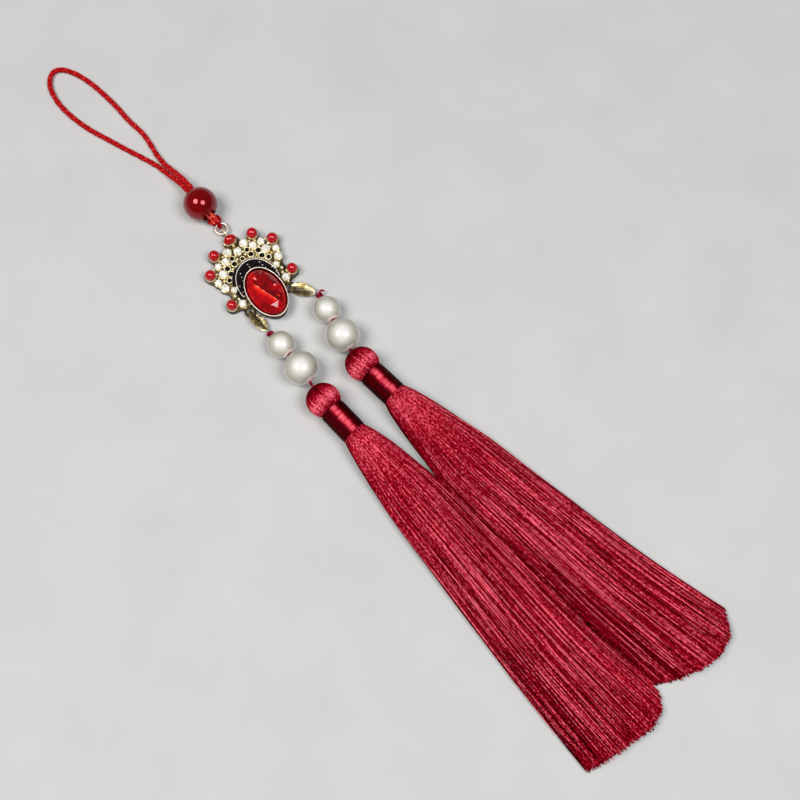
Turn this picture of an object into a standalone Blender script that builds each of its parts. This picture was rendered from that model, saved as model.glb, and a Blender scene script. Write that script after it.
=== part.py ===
"""Tassel pendant: a cord loop, a red bead, a jewelled medallion, and two pearl-topped silk tassels.

It lies on its back on the plane z = 0. The lengths below are millimetres, and MM turns them into
metres. Places are given from the middle of the medallion's stone, with +Y towards the cord loop.
"""

import math

import bmesh
import bpy
from mathutils import Matrix, Vector

MM = 0.001
GAP = 0.3  # between neighbouring pieces

# The pendant's own middle, seen from the stone: the empty that carries every piece stands there.
MIDDLE_X, MIDDLE_Y = 2.788, -61.490

# Cord loop and its bead
LOOP_CORD = 1.6  # diameter
LOOP_STEP = 4.0  # between the points of the tube
BEAD = 10.0
BEAD_BORE = 4.0
BEAD_AT = (3.70, 33.60, 5.00)
BEAD_AXIS = (0.085, 1.0, 0.09)
# Columns: x, y, z of the cord's middle line, from inside the bead, round the loop, and back.
LOOP_ROUTE = (
    (4.50, 34.60, 5.60),
    (4.75, 37.60, 5.95),
    (4.98, 40.80, 5.75),
    (5.12, 45.00, 4.20),
    (4.98, 48.80, 2.75),
    (4.86, 52.40, 1.55),
    (5.35, 56.90, 0.90),
    (6.23, 61.30, 0.82),
    (6.72, 65.30, 0.82),
    (6.40, 71.40, 0.82),
    (6.60, 76.50, 0.82),
    (6.48, 82.30, 0.82),
    (5.86, 89.00, 0.82),
    (4.60, 94.20, 0.82),
    (2.75, 97.90, 0.82),
    (0.40, 99.55, 0.82),
    (-2.30, 98.50, 0.82),
    (-4.35, 95.70, 0.82),
    (-5.55, 91.20, 0.82),
    (-5.78, 86.80, 0.82),
    (-5.34, 82.00, 0.82),
    (-4.28, 76.60, 0.82),
    (-2.30, 70.30, 0.82),
    (-0.45, 64.50, 0.82),
    (1.22, 58.60, 0.82),
    (2.50, 53.60, 0.90),
    (3.15, 48.90, 1.45),
    (3.72, 45.00, 2.85),
    (3.80, 40.80, 4.45),
    (3.60, 37.60, 4.70),
    (3.32, 34.60, 4.40),
)

# Knotted cord between the bead and the ring
STEM_RADIUS = 0.75
STEM_ROUTE = (
    (3.66, 33.20, 4.96),
    (3.50, 30.60, 4.72),
    (3.60, 28.70, 4.40),
    (3.80, 27.66, 3.60),
    (3.92, 27.95, 2.30),
)
KNOT_AT = (3.95, 28.16, 1.52)
KNOT_HALF = (1.95, 0.95, 1.40)
CORD_EYE_RADIUS = 0.42
RING_WIRE = 0.37  # radius
RING_RADIUS = 1.77
RING_UP = 25.0  # from the stone along the medallion
RING_Z = 1.6

# Medallion: it is turned a little from the pendant's own line
MEDALLION_TURN = -8.75  # degrees
PLATE_T = 1.8
SEAT = PLATE_T + GAP
PLATE_MARGIN = 0.25  # of the plate round each stone it carries
PLATE_BASE = (5.2, 8.0)  # half width and half length under the oval stone
CROWN_MIDDLE, CROWN_HALF = 5.0, (9.3, 12.0)
EYE_ROOT, EYE_ROOT_HALF = 21.2, (1.1, 1.15)  # the plate's tongue that carries the top eye
GEM_HALF = (4.95, 7.73)
# Columns: share of the stone's width at its widest, z
GEM_RINGS = ((0.88, SEAT), (1.0, 3.55), (0.96, 4.55), (0.80, 5.15), (0.52, 5.45))
BEZEL_OUTER, BEZEL_WALL, BEZEL_TOP = (5.72, 8.50), 0.45, 4.30
CRESCENT_MIDDLE, CRESCENT_HALF, CRESCENT_FROM, CRESCENT_T = 4.3, (6.30, 7.55), 2.6, 0.9
EYE_WIRE = 0.33
LUG_AT, LUG_RADIUS, LUG_WIRE, LUG_Z = (6.95, -1.9), 1.35, 0.34, 1.45
# Columns: name, across, along, half width, half length. Every row but the first has a twin.
STUDS = (
    ("top", 0.0, 20.2, 2.10, 1.45),
    ("upper", 6.6, 18.4, 1.70, 1.70),
    ("side", 10.75, 13.75, 1.70, 1.70),
    ("lower", 10.45, 2.45, 1.60, 1.70),
)
# Columns: share of the stud's radius, height over the seat
STUD_SIDE = ((0.0, 2.6), (0.5, 2.4), (0.82, 1.8), (0.9, 1.1), (0.8, 0.6), (1.0, 0.6), (1.0, 0.0), (0.0, 0.0))
# Columns: name, across, along, radius. Every row but the first has a twin.
STONES = (
    ("crown", 0.0, 15.9, 1.20),
    ("a", 2.8, 17.2, 1.25),
    ("b", 4.8, 15.1, 1.15),
    ("c", 7.4, 14.9, 1.05),
    ("d", 7.4, 12.05, 1.30),
    ("e", 10.0, 10.6, 1.05),
    ("f", 9.2, 8.1, 1.20),
    ("g", 7.3, 6.2, 0.95),
    ("h", 7.5, 1.3, 1.15),
)
# Columns: across, along, half size of the openings in the metalwork. Every row but the first has a twin.
OPENWORK = (
    (0.0, 13.30, 0.60),
    (2.55, 14.75, 0.60),
    (2.75, 12.95, 0.75),
    (5.35, 13.05, 0.75),
    (5.30, 11.00, 0.75),
    (6.75, 9.50, 0.65),
)

# Clasps: narrow loops of sheet that hang from the medallion's side eyes
CLASP_WIRE = 0.38
CLASP_TIPS = {"left": (-7.30, -8.30), "right": (10.75, -9.00)}
# Columns: share of the length, half width, z of the upper leg, z of the lower leg, thickness
CLASP_LEGS = (
    (0.02, 0.22, 2.30, 0.60, 1.0),
    (0.10, 0.40, 2.52, 0.42, 1.0),
    (0.26, 0.85, 2.52, 0.42, 1.0),
    (0.42, 1.10, 2.25, 0.72, 1.4),
    (0.62, 1.05, 1.95, 0.95, 1.5),
    (0.84, 0.75, 1.75, 1.25, 1.3),
)

# Pearls, from the clasps down
PEARL_SMALL, PEARL_BIG, PEARL_BORE, THREAD_RADIUS = 8.0, 10.0, 2.4, 0.45
PEARLS = {
    "left": ((-7.52, -15.13, 4.0), (-8.08, -24.42, 5.0)),
    "right": ((9.33, -15.98, 4.0), (7.23, -25.07, 5.0)),
}
THREAD_KNOTS = {"left": (-7.30, -10.10, 1.75), "right": (11.05, -10.75, 1.75)}
KNOT_BULGE = 2.3

# Tassels
BALL = 9.8
BALL_FLAT = 3.35  # from the ball's middle down to where it sits on the neck
BALLS = {"left": (-9.83, -35.75, 4.9), "right": (5.55, -35.30, 4.9)}
NECK_RADIUS, NECK_WALL = 4.0, 0.8
NECK_LENGTH = 9.2
NECK_Z = NECK_RADIUS
NECK_ENDS = {"left": (-9.75, -48.60), "right": (6.25, -48.10)}
ROOT_RADIUS = NECK_RADIUS - NECK_WALL - GAP
STRANDS_ACROSS, STRANDS_HIGH = 16, 4
STRAND_GAP = 0.11  # share of a strand's pitch that is left open on each side
STRAND_STEPS = (0.016, 0.085, 0.24, 0.56, 1.0)
UNEVEN = 0.011  # the most that a strand is shorter, as a share of its length
SWAY = 0.2  # how far the strands wave sideways at their cut ends
EDGE_THIN = 0.62  # share of the height that the skirt loses at its edges
FLARE = 26.0  # length over which the round root turns into the flat skirt
# Columns: y, left edge, right edge, height of the skirt there
SKIRTS = {
    "left": (
        (-48.9, -12.65, -6.85, 5.8),
        (-50.6, -14.2, -5.2, 8.0),
        (-60.0, -16.2, -2.9, 7.6),
        (-75.0, -18.6, -1.15, 6.8),
        (-100.0, -21.3, -0.1, 5.6),
        (-130.0, -24.4, 0.75, 4.7),
        (-162.0, -26.9, 3.15, 3.9),
    ),
    "right": (
        (-48.4, 3.35, 9.15, 5.8),
        (-50.1, 1.7, 11.1, 8.0),
        (-60.0, 0.2, 14.2, 7.6),
        (-75.0, -0.75, 17.7, 6.8),
        (-100.0, 0.25, 21.6, 5.6),
        (-130.0, 1.15, 26.8, 4.7),
        (-162.0, 3.65, 34.0, 3.9),
    ),
}
# Columns: share across the skirt from its left edge, y of the cut end there
CUT_ENDS = {
    "left": ((0.0, -157.4), (0.2, -158.9), (0.5, -160.4), (0.7, -161.4), (0.88, -160.2), (1.0, -156.4)),
    "right": ((0.0, -153.8), (0.2, -157.6), (0.45, -160.4), (0.6, -161.0), (0.8, -159.6), (1.0, -153.6)),
}


def clear_scene():
    for thing in list(bpy.data.objects):
        bpy.data.objects.remove(thing, do_unlink=True)


def collection(name):
    made = bpy.data.collections.new(name)
    bpy.context.scene.collection.children.link(made)
    return made


def material(name, colour, roughness, metallic=0.0):
    made = bpy.data.materials.new(name)
    made.use_nodes = True
    shader = made.node_tree.nodes["Principled BSDF"]
    shader.inputs["Base Color"].default_value = (*colour, 1.0)
    shader.inputs["Roughness"].default_value = roughness
    shader.inputs["Metallic"].default_value = metallic
    return made


def place(name, data, finish):
    """A new piece of the pendant, carried by its empty."""
    thing = bpy.data.objects.new(name, data)
    thing.parent = CARRIER
    PIECES.objects.link(thing)
    data.materials.clear()
    data.materials.append(finish)
    return thing


def point(values):
    return Vector(values) * MM


def smooth_points(route, step):
    """Points about a step apart on the smooth curve through the route's own points."""
    knots = [Vector(p) for p in route]
    knots = [2 * knots[0] - knots[1], *knots, 2 * knots[-1] - knots[-2]]
    found = []
    for a, b, c, d in zip(knots, knots[1:], knots[2:], knots[3:]):
        count = max(1, round((c - b).length / step))
        for i in range(count):
            t = i / count
            bend = (2 * a - 5 * b + 4 * c - d) * t * t + (3 * b - a - 3 * c + d) * t**3
            found.append(b + 0.5 * ((c - a) * t + bend))
    return [*found, knots[-2]]


def tube_curve(name, points, radius, widths=None, closed=False):
    curve = bpy.data.curves.new(name, "CURVE")
    curve.dimensions = "3D"
    curve.bevel_depth = radius * MM
    curve.bevel_resolution = 2
    curve.use_fill_caps = not closed
    curve.render_resolution_u = 0
    line = curve.splines.new("POLY")
    line.points.add(len(points) - 1)
    for i, (target, p) in enumerate(zip(line.points, points)):
        target.co = (*(Vector(p) * MM), 1.0)
        target.radius = widths[i] if widths else 1.0
    line.use_cyclic_u = closed
    return curve


def mesh_of(thing):
    """A mesh object in place of a curve object, with its caps welded."""
    bpy.context.view_layer.update()
    graph = bpy.context.evaluated_depsgraph_get()
    mesh = bpy.data.meshes.new_from_object(thing.evaluated_get(graph))
    held = bmesh.new()
    held.from_mesh(mesh)
    bmesh.ops.remove_doubles(held, verts=held.verts, dist=0.001 * MM)
    held.to_mesh(mesh)
    held.free()
    name, finish, stand = thing.name, thing.data.materials[0], thing.matrix_basis.copy()
    bpy.data.objects.remove(thing, do_unlink=True)
    made = place(name, mesh, finish)
    made.matrix_basis = stand
    return made


def helper(name, mesh):
    """A shape that is only joined to a piece, kept out of the finished object."""
    thing = bpy.data.objects.new(name, mesh)
    thing.parent = CARRIER
    thing.hide_render = True
    thing.display_type = "WIRE"
    CUTTERS.objects.link(thing)
    return thing


def join(piece, other):
    union = piece.modifiers.new("join " + other.name, "BOOLEAN")
    union.operation = "UNION"
    union.object = other


def flat_outline(name, loops, thickness, finish):
    """A flat piece with the first loop as its edge and the others as openings."""
    curve = bpy.data.curves.new(name, "CURVE")
    curve.dimensions = "2D"
    curve.fill_mode = "BOTH"
    curve.extrude = thickness / 2 * MM
    curve.render_resolution_u = 0
    for loop in loops:
        line = curve.splines.new("POLY")
        line.points.add(len(loop) - 1)
        for target, (x, y) in zip(line.points, loop):
            target.co = (x * MM, y * MM, 0.0, 1.0)
        line.use_cyclic_u = True
    return place(name, curve, finish)


def turned(name, profile, steps, finish, closed):
    """A turned piece: its profile is (radius, height) pairs that run down the outer side."""
    mesh = bpy.data.meshes.new(name)
    edges = [(i, i + 1) for i in range(len(profile) - 1)]
    if closed:
        edges.append((len(profile) - 1, 0))
    mesh.from_pydata([(r * MM, 0.0, h * MM) for r, h in profile], edges, [])
    thing = place(name, mesh, finish)
    screw = thing.modifiers.new("turn", "SCREW")
    screw.steps = screw.render_steps = steps
    screw.use_merge_vertices = True
    screw.merge_threshold = 0.00001
    screw.use_smooth_shade = True
    return thing


def aim(thing, at, axis):
    """Puts the piece at a point, with its own Z along the axis."""
    thing.location = point(at)
    thing.rotation_mode = "QUATERNION"
    thing.rotation_quaternion = Vector(axis).to_track_quat("Z", "Y")


def sphere_side(radius, start, end, count):
    """(radius, height) pairs down a ball's side between two angles from its top, in degrees."""
    angles = [math.radians(start + (end - start) * i / count) for i in range(count + 1)]
    return [(radius * math.sin(a), radius * math.cos(a)) for a in angles]


def bored_ball(name, size, bore, at, axis, steps, finish):
    mouth = math.degrees(math.asin(bore / size))
    profile = sphere_side(size / 2, mouth, 180 - mouth, 9)
    thing = turned(name, profile, steps, finish, closed=True)
    aim(thing, at, axis)


def ring_mesh(name, radius, wire, around=14, section=6):
    """A plain wire ring, its axis along Z."""
    bpy.ops.mesh.primitive_torus_add(
        major_radius=radius * MM, minor_radius=wire * MM, major_segments=around, minor_segments=section
    )
    made = bpy.context.object
    mesh = made.data
    mesh.name = name
    bpy.data.objects.remove(made, do_unlink=True)
    return mesh


def on_medallion(across, along, z=0.0):
    """The place of a point given in the medallion's own directions."""
    turned_point = Matrix.Rotation(math.radians(MEDALLION_TURN), 3, "Z") @ Vector((across, along, 0.0))
    return (turned_point.x, turned_point.y, z)


def set_on_medallion(thing, across, along, z):
    thing.location = point(on_medallion(across, along, z))
    thing.rotation_euler = (0.0, 0.0, math.radians(MEDALLION_TURN))


def with_twins(rows):
    """(name, side, rest) of every row: the first once, and the others left and right."""
    for i, (name, across, *rest) in enumerate(rows):
        for word, side in (("", 1),) if i == 0 else (("_left", -1), ("_right", 1)):
            yield (name + word, across * side, *rest)


def ellipse(half, middle=0.0, start=0.0, end=360.0, count=32):
    """Points on an ellipse from one angle to another, in degrees from the across direction."""
    whole = end - start == 360.0
    angles = [math.radians(start + (end - start) * i / count) for i in range(count + (not whole))]
    return [(half[0] * math.cos(a), middle + half[1] * math.sin(a)) for a in angles]


def reach(angle, middle, half):
    """How far a ray from the stone's middle goes to leave an ellipse, or 0 where it misses it."""
    dx, dy = math.cos(angle) / half[0], math.sin(angle) / half[1]
    mx, my = middle[0] / half[0], middle[1] / half[1]
    a, b, c = dx * dx + dy * dy, dx * mx + dy * my, mx * mx + my * my - 1
    inside = b * b - a * c
    return (b + math.sqrt(inside)) / a if inside > 0 else 0.0


def plate_edge(count=132):
    """The scalloped edge: the furthest reach of all that the plate carries, seen from the stone."""
    lobes = [((0.0, 0.0), PLATE_BASE), ((0.0, CROWN_MIDDLE), CROWN_HALF), ((0.0, EYE_ROOT), EYE_ROOT_HALF)]
    for _, across, along, *half in (*with_twins(STUDS), *with_twins(STONES)):
        lobes.append(((across, along), (half[0] + PLATE_MARGIN, half[-1] + PLATE_MARGIN)))
    found = []
    for i in range(count):
        angle = 2 * math.pi * i / count
        far = max(reach(angle, middle, half) for middle, half in lobes)
        if math.sin(angle) < -0.05:
            far = reach(angle, *lobes[0])
        found.append((far * math.cos(angle), far * math.sin(angle)))
    return found


def diamond(across, along, half):
    return [(across + half, along), (across, along + half), (across - half, along), (across, along - half)]


def build_loop(cord):
    points = smooth_points(LOOP_ROUTE, LOOP_STEP)
    place("hanging_loop", tube_curve("hanging_loop", points, LOOP_CORD / 2), cord)


def build_bead(red):
    bored_ball("red_bead", BEAD, BEAD_BORE, BEAD_AT, BEAD_AXIS, 22, red)


def build_knotted_cord(cord):
    """The stem out of the bead, its knot, and the eye of cord round the ring."""
    curve = tube_curve("knotted_cord", smooth_points(STEM_ROUTE, 1.2), STEM_RADIUS)
    piece = mesh_of(place("knotted_cord", curve, cord))
    knot = bmesh.new()
    bmesh.ops.create_uvsphere(knot, u_segments=14, v_segments=8, radius=MM)
    bmesh.ops.scale(knot, vec=KNOT_HALF, verts=knot.verts)
    mesh = bpy.data.meshes.new("knot")
    knot.to_mesh(mesh)
    knot.free()
    lump = helper("knot", mesh)
    lump.location = point(KNOT_AT)
    join(piece, lump)
    eye = helper("cord_eye", ring_mesh("cord_eye", RING_WIRE + GAP + CORD_EYE_RADIUS, CORD_EYE_RADIUS))
    stand_on_ring(eye, RING_RADIUS)
    join(piece, eye)


def stand_on_ring(eye, offset):
    """Stands an eye upright round the ring's wire, on the medallion's line."""
    eye.location = point(on_medallion(0.0, RING_UP + offset, RING_Z))
    eye.rotation_euler = (0.0, math.radians(90), math.radians(MEDALLION_TURN))


def build_top_ring(gold):
    ring = place("top_ring", ring_mesh("top_ring", RING_RADIUS, RING_WIRE, 20), gold)
    set_on_medallion(ring, 0.0, RING_UP, RING_Z)


def build_plate(gold):
    """The pierced back plate, with the eye for the ring and one at each side for the clasps."""
    holes = [diamond(x, y, h) for _, x, y, h in with_twins([("", *row) for row in OPENWORK])]
    piece = flat_outline("medallion_plate", [plate_edge(), *holes], PLATE_T, gold)
    set_on_medallion(piece, 0.0, 0.0, PLATE_T / 2)
    piece = mesh_of(piece)
    top = helper("top_eye", ring_mesh("top_eye", RING_WIRE + GAP + EYE_WIRE, EYE_WIRE))
    stand_on_ring(top, -RING_RADIUS)
    join(piece, top)
    for side in (-1, 1):
        lug = helper("side_eye", ring_mesh("side_eye", LUG_RADIUS, LUG_WIRE))
        set_on_medallion(lug, side * LUG_AT[0], LUG_AT[1], LUG_Z)
        join(piece, lug)


def build_bezel(gold):
    outer = ellipse(BEZEL_OUTER)
    inner = ellipse([half - BEZEL_WALL for half in BEZEL_OUTER])
    piece = flat_outline("stone_bezel", [outer, inner], BEZEL_TOP - SEAT, gold)
    set_on_medallion(piece, 0.0, 0.0, (BEZEL_TOP + SEAT) / 2)


def build_gem(red):
    """The cut oval stone: a ring of points drawn up and in, ring by ring."""
    gem = bmesh.new()
    bmesh.ops.create_circle(gem, cap_ends=True, segments=20, radius=GEM_RINGS[0][0])
    for (before, low), (share, high) in zip(GEM_RINGS, GEM_RINGS[1:]):
        top = max(gem.faces, key=lambda face: face.calc_center_median().z)
        region = [top, *top.edges, *top.verts]
        made = bmesh.ops.extrude_face_region(gem, geom=region, use_keep_orig=before == GEM_RINGS[0][0])
        moved = [part for part in made["geom"] if isinstance(part, bmesh.types.BMVert)]
        bmesh.ops.translate(gem, vec=(0.0, 0.0, (high - low)), verts=moved)
        bmesh.ops.scale(gem, vec=(share / before, share / before, 1.0), verts=moved)
    bmesh.ops.translate(gem, vec=(0.0, 0.0, SEAT), verts=gem.verts)
    bmesh.ops.scale(gem, vec=(GEM_HALF[0] * MM, GEM_HALF[1] * MM, MM), verts=gem.verts)
    bmesh.ops.recalc_face_normals(gem, faces=gem.faces)
    mesh = bpy.data.meshes.new("oval_stone")
    gem.to_mesh(mesh)
    gem.free()
    set_on_medallion(place("oval_stone", mesh, red), 0.0, 0.0, 0.0)


def build_crescent(black):
    """The dark crescent that hugs the bezel's upper half."""
    outer = [p for p in ellipse(CRESCENT_HALF, CRESCENT_MIDDLE, -20, 200, 30) if p[1] > CRESCENT_FROM]
    inner = [p for p in ellipse([half + GAP for half in BEZEL_OUTER], 0.0, 0, 180, 30) if p[1] > CRESCENT_FROM]
    piece = flat_outline("dark_crescent", [[*outer, *reversed(inner)]], CRESCENT_T, black)
    set_on_medallion(piece, 0.0, 0.0, SEAT + CRESCENT_T / 2)


def build_studs(red):
    """Round red studs in low collars."""
    for name, across, along, width, length in with_twins(STUDS):
        stud = turned("stud_" + name, [(r * length, h) for r, h in STUD_SIDE], 12, red, closed=False)
        set_on_medallion(stud, across, along, SEAT)
        stud.scale = (width / length, 1.0, 1.0)


def build_stones(white):
    """Small clear stones with eight sides and a flat top."""
    for name, across, along, radius in with_twins(STONES):
        bpy.ops.mesh.primitive_cone_add(
            vertices=8, radius1=radius * MM, radius2=0.6 * radius * MM, depth=radius * MM
        )
        made = bpy.context.object
        stone = place("stone_" + name, made.data, white)
        bpy.data.objects.remove(made, do_unlink=True)
        set_on_medallion(stone, across, along, SEAT + radius / 2)


def build_clasp(side, sign, gold):
    """A closed loop of metal: it goes down through the side eye, and its two legs meet at the tip."""
    top = Vector(on_medallion(sign * LUG_AT[0], LUG_AT[1], LUG_Z))
    tip = Vector((*CLASP_TIPS[side], 1.55))
    along = (tip - top) * Vector((1.0, 1.0, 0.0))
    out = along.normalized().cross(Vector((0.0, 0.0, -sign)))

    def at(share, width, z):
        place_on = top + along * share + out * width
        return (place_on.x, place_on.y, z)

    upper = [at(f, w, high) for f, w, high, _, _ in CLASP_LEGS]
    lower = [at(f, -w, low) for f, w, _, low, _ in CLASP_LEGS]
    widths = [row[4] for row in CLASP_LEGS]
    apex = at(-0.03, 0.0, LUG_Z)
    points = [apex, *upper, tuple(tip), *reversed(lower)]
    curve = tube_curve("clasp_" + side, points, CLASP_WIRE, [1.0, *widths, 1.0, *reversed(widths)], closed=True)
    place("clasp_" + side, curve, gold)


def build_pearls(side, pearl):
    small, big = (Vector(p) for p in PEARLS[side])
    bored_ball("pearl_small_" + side, PEARL_SMALL, PEARL_BORE, small, small - big, 16, pearl)
    bored_ball("pearl_big_" + side, PEARL_BIG, PEARL_BORE, big, small - Vector(BALLS[side]), 18, pearl)


def build_thread(side, thread):
    """The thread from its knot at the clasp, through both pearls, into the tassel's ball."""
    small, big = (Vector(p) for p in PEARLS[side])
    knot, ball = Vector(THREAD_KNOTS[side]), Vector(BALLS[side])
    line = (small - big).normalized()
    above = small + line * (PEARL_SMALL / 2 + 0.5)
    between = ((small - line * PEARL_SMALL / 2) + (big + line * PEARL_BIG / 2)) / 2
    low_mouth = big - (small - ball).normalized() * PEARL_BIG / 2
    ball_mouth = ball + neck_axis(side) * BALL / 2
    points = [
        knot + Vector((0.0, 0.75, -0.15)),
        knot + Vector((0.0, 0.3, 0.0)),
        knot + Vector((0.0, -0.3, 0.1)),
        knot.lerp(above, 0.75),
        above,
        small,
        between,
        big,
        (low_mouth + ball_mouth) / 2,
        ball + neck_axis(side) * BALL / 4,
    ]
    widths = [0.9, KNOT_BULGE, KNOT_BULGE, 1.1, 1.0, 1.0, 1.0, 1.0, 1.0, 1.0]
    curve = tube_curve("pearl_thread_" + side, [tuple(p) for p in points], THREAD_RADIUS, widths)
    place("pearl_thread_" + side, curve, thread)


def build_ball(side, silk):
    """The wound ball of the tassel's head, flat where it sits on the neck, with a hole for the thread."""
    radius, bore = BALL / 2, PEARL_BORE / 2
    top = math.degrees(math.asin(bore / radius))
    bottom = math.degrees(math.acos(-BALL_FLAT / radius))
    profile = [(0.0, 0.3), (bore, 0.3), *sphere_side(radius, top, bottom, 9), (0.0, -BALL_FLAT)]
    ball = turned("tassel_ball_" + side, profile, 20, silk, closed=False)
    aim(ball, BALLS[side], neck_axis(side))


def neck_axis(side):
    """From the lower end of the neck to the ball, level with the floor."""
    end, ball = NECK_ENDS[side], BALLS[side]
    return Vector((ball[0] - end[0], ball[1] - end[1], 0.0)).normalized()


def build_neck(side, satin):
    """The satin wrap round the tassel's root: a sleeve with softened ends."""
    outer, inner, half = NECK_RADIUS, NECK_RADIUS - NECK_WALL, NECK_LENGTH / 2
    soft = 0.25
    profile = [(inner, half), (outer - soft, half), (outer, half - soft), (outer, -half + soft), (outer - soft, -half), (inner, -half)]
    neck = turned("neck_wrap_" + side, profile, 24, satin, closed=True)
    middle = Vector((*NECK_ENDS[side], NECK_Z)) + neck_axis(side) * half
    aim(neck, middle, neck_axis(side))


def read_table(rows, key):
    """The table's columns at a value of its first column, in between its rows."""
    rows = sorted(rows)
    key = min(max(key, rows[0][0]), rows[-1][0])
    for low, high in zip(rows, rows[1:]):
        if key <= high[0]:
            share = (key - low[0]) / (high[0] - low[0])
            return [a + (b - a) * share for a, b in zip(low[1:], high[1:])]


def soft_step(x):
    x = min(max(x, 0.0), 1.0)
    return x * x * (3 - 2 * x)


def round_section(u, v):
    """Spreads a square's point over a disc."""
    return u * math.sqrt(1 - v * v / 2), v * math.sqrt(1 - u * u / 2)


def skirt_point(side, u, v, t, column, row):
    """A point of the skirt: u across and v up from -1 to 1, t from 0 at the root to 1 at the cut end.

    Every other row of strands moves half a strand sideways, so that it covers the gaps below it,
    and the strands are cut to slightly uneven lengths.
    """
    half_strand = 0.5 / STRANDS_ACROSS
    aside = half_strand if row % 2 else -half_strand
    u = u * (1 - half_strand) + aside * soft_step(t / STRAND_STEPS[0])
    t *= 1 - UNEVEN * (0.5 + 0.5 * math.sin(12.9 * column + 7.3 * row))
    (end_y,) = read_table(CUT_ENDS[side], (u + 1) / 2)
    root_y = NECK_ENDS[side][1] - GAP
    y = root_y + (end_y - root_y) * t
    left, right, height = read_table(SKIRTS[side], y)
    flat = soft_step((root_y - y) / FLARE)
    disc_x, disc_z = round_section(max(-1.0, min(1.0, u)), v)
    edge = 1 - EDGE_THIN * abs(u) ** 3
    under = STRAND_GAP / STRANDS_HIGH  # the lowest strands lie level on the floor
    level = ((v + 1) / 2 - under) / (1 - under)
    across = disc_x + (u - disc_x) * flat
    round_z = NECK_Z + height / 2 * disc_z
    sway = SWAY * math.sin(5.0 * u + 3.0 * t) * t
    x = (left + right) / 2 + (right - left) / 2 * across + sway
    return Vector((x, y, round_z + (height * edge * level - round_z) * flat))


def root_point(side, u, v, depth):
    """A point of the root inside the neck, depth behind the skirt's first row."""
    disc_x, disc_z = round_section(u, v)
    base = Vector((*NECK_ENDS[side], NECK_Z)) + Vector((0.0, -GAP, 0.0))
    return base + Vector((ROOT_RADIUS * disc_x, 0.0, ROOT_RADIUS * disc_z)) + neck_axis(side) * depth


def build_skirt(side, silk):
    """A block of cells for the root, each cell's front drawn out into one four-sided strand.

    The strands are drawn straight in a square block, and then every point is moved to its place
    in the skirt. In the block, x and y count the cells and z is the length.
    """
    skirt = bmesh.new()
    bmesh.ops.create_grid(skirt, x_segments=STRANDS_ACROSS, y_segments=STRANDS_HIGH, size=0.5)
    bmesh.ops.scale(skirt, vec=(STRANDS_ACROSS, STRANDS_HIGH, 1.0), verts=skirt.verts)
    back = list(skirt.faces)
    made = bmesh.ops.extrude_face_region(skirt, geom=back, use_keep_orig=True)
    front = [part for part in made["geom"] if isinstance(part, bmesh.types.BMFace)]
    for vert in {vert for face in front for vert in face.verts}:
        vert.co.z = 1.0
    bmesh.ops.inset_individual(skirt, faces=front, thickness=STRAND_GAP, use_even_offset=True)
    for step in STRAND_STEPS:
        front = bmesh.ops.extrude_discrete_faces(skirt, faces=front)["faces"]
        for face in front:
            for vert in face.verts:
                vert.co.z = 1.0 + step
    depth = NECK_LENGTH - 2 * GAP
    for vert in skirt.verts:
        u, v, t = vert.co.x / (STRANDS_ACROSS / 2), vert.co.y / (STRANDS_HIGH / 2), vert.co.z - 1.0
        if t < 0:
            vert.co = root_point(side, u, v, depth) * MM
        else:
            column, row = int(vert.co.x + STRANDS_ACROSS / 2), int(vert.co.y + STRANDS_HIGH / 2)
            vert.co = skirt_point(side, u, v, t, column, row) * MM
    bmesh.ops.recalc_face_normals(skirt, faces=skirt.faces)
    mesh = bpy.data.meshes.new("tassel_skirt_" + side)
    skirt.to_mesh(mesh)
    skirt.free()
    place("tassel_skirt_" + side, mesh, silk)


clear_scene()
PIECES = collection("Tassel pendant")
CUTTERS = collection("Joined shapes")
CARRIER = bpy.data.objects.new("pendant", None)
CARRIER.location = point((-MIDDLE_X, -MIDDLE_Y, 0.0))
PIECES.objects.link(CARRIER)

red_cord = material("red_cord", (0.60, 0.02, 0.03), 0.75)
red_glass = material("red_glass", (0.32, 0.0, 0.01), 0.08)
gold_metal = material("gold_metal", (0.80, 0.66, 0.38), 0.28, 1.0)
clear_stone = material("clear_stone", (0.86, 0.85, 0.80), 0.12)
black_enamel = material("black_enamel", (0.02, 0.015, 0.02), 0.2)
pearl_coat = material("pearl_coat", (0.80, 0.77, 0.72), 0.22)
dark_thread = material("dark_thread", (0.22, 0.01, 0.05), 0.7)
tassel_silk = material("tassel_silk", (0.50, 0.015, 0.05), 0.55)
satin_wrap = material("satin_wrap", (0.42, 0.01, 0.04), 0.35)

build_loop(red_cord)
build_bead(red_glass)
build_knotted_cord(red_cord)
build_top_ring(gold_metal)
build_plate(gold_metal)
build_bezel(gold_metal)
build_gem(red_glass)
build_crescent(black_enamel)
build_studs(red_glass)
build_stones(clear_stone)
for which, mirror in (("left", -1), ("right", 1)):
    build_clasp(which, mirror, gold_metal)
    build_pearls(which, pearl_coat)
    build_thread(which, dark_thread)
    build_ball(which, tassel_silk)
    build_neck(which, satin_wrap)
    build_skirt(which, tassel_silk)
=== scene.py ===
"""The looks of the tassel pendant: braided cord, plated openwork, cut stones, pearls and silk.

Lengths are millimetres from the middle of the medallion's oval stone, and at() turns them into
the frame's metres.
"""

import math

import bmesh
import bpy
import numpy as np
from mathutils import Matrix, Vector


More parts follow.
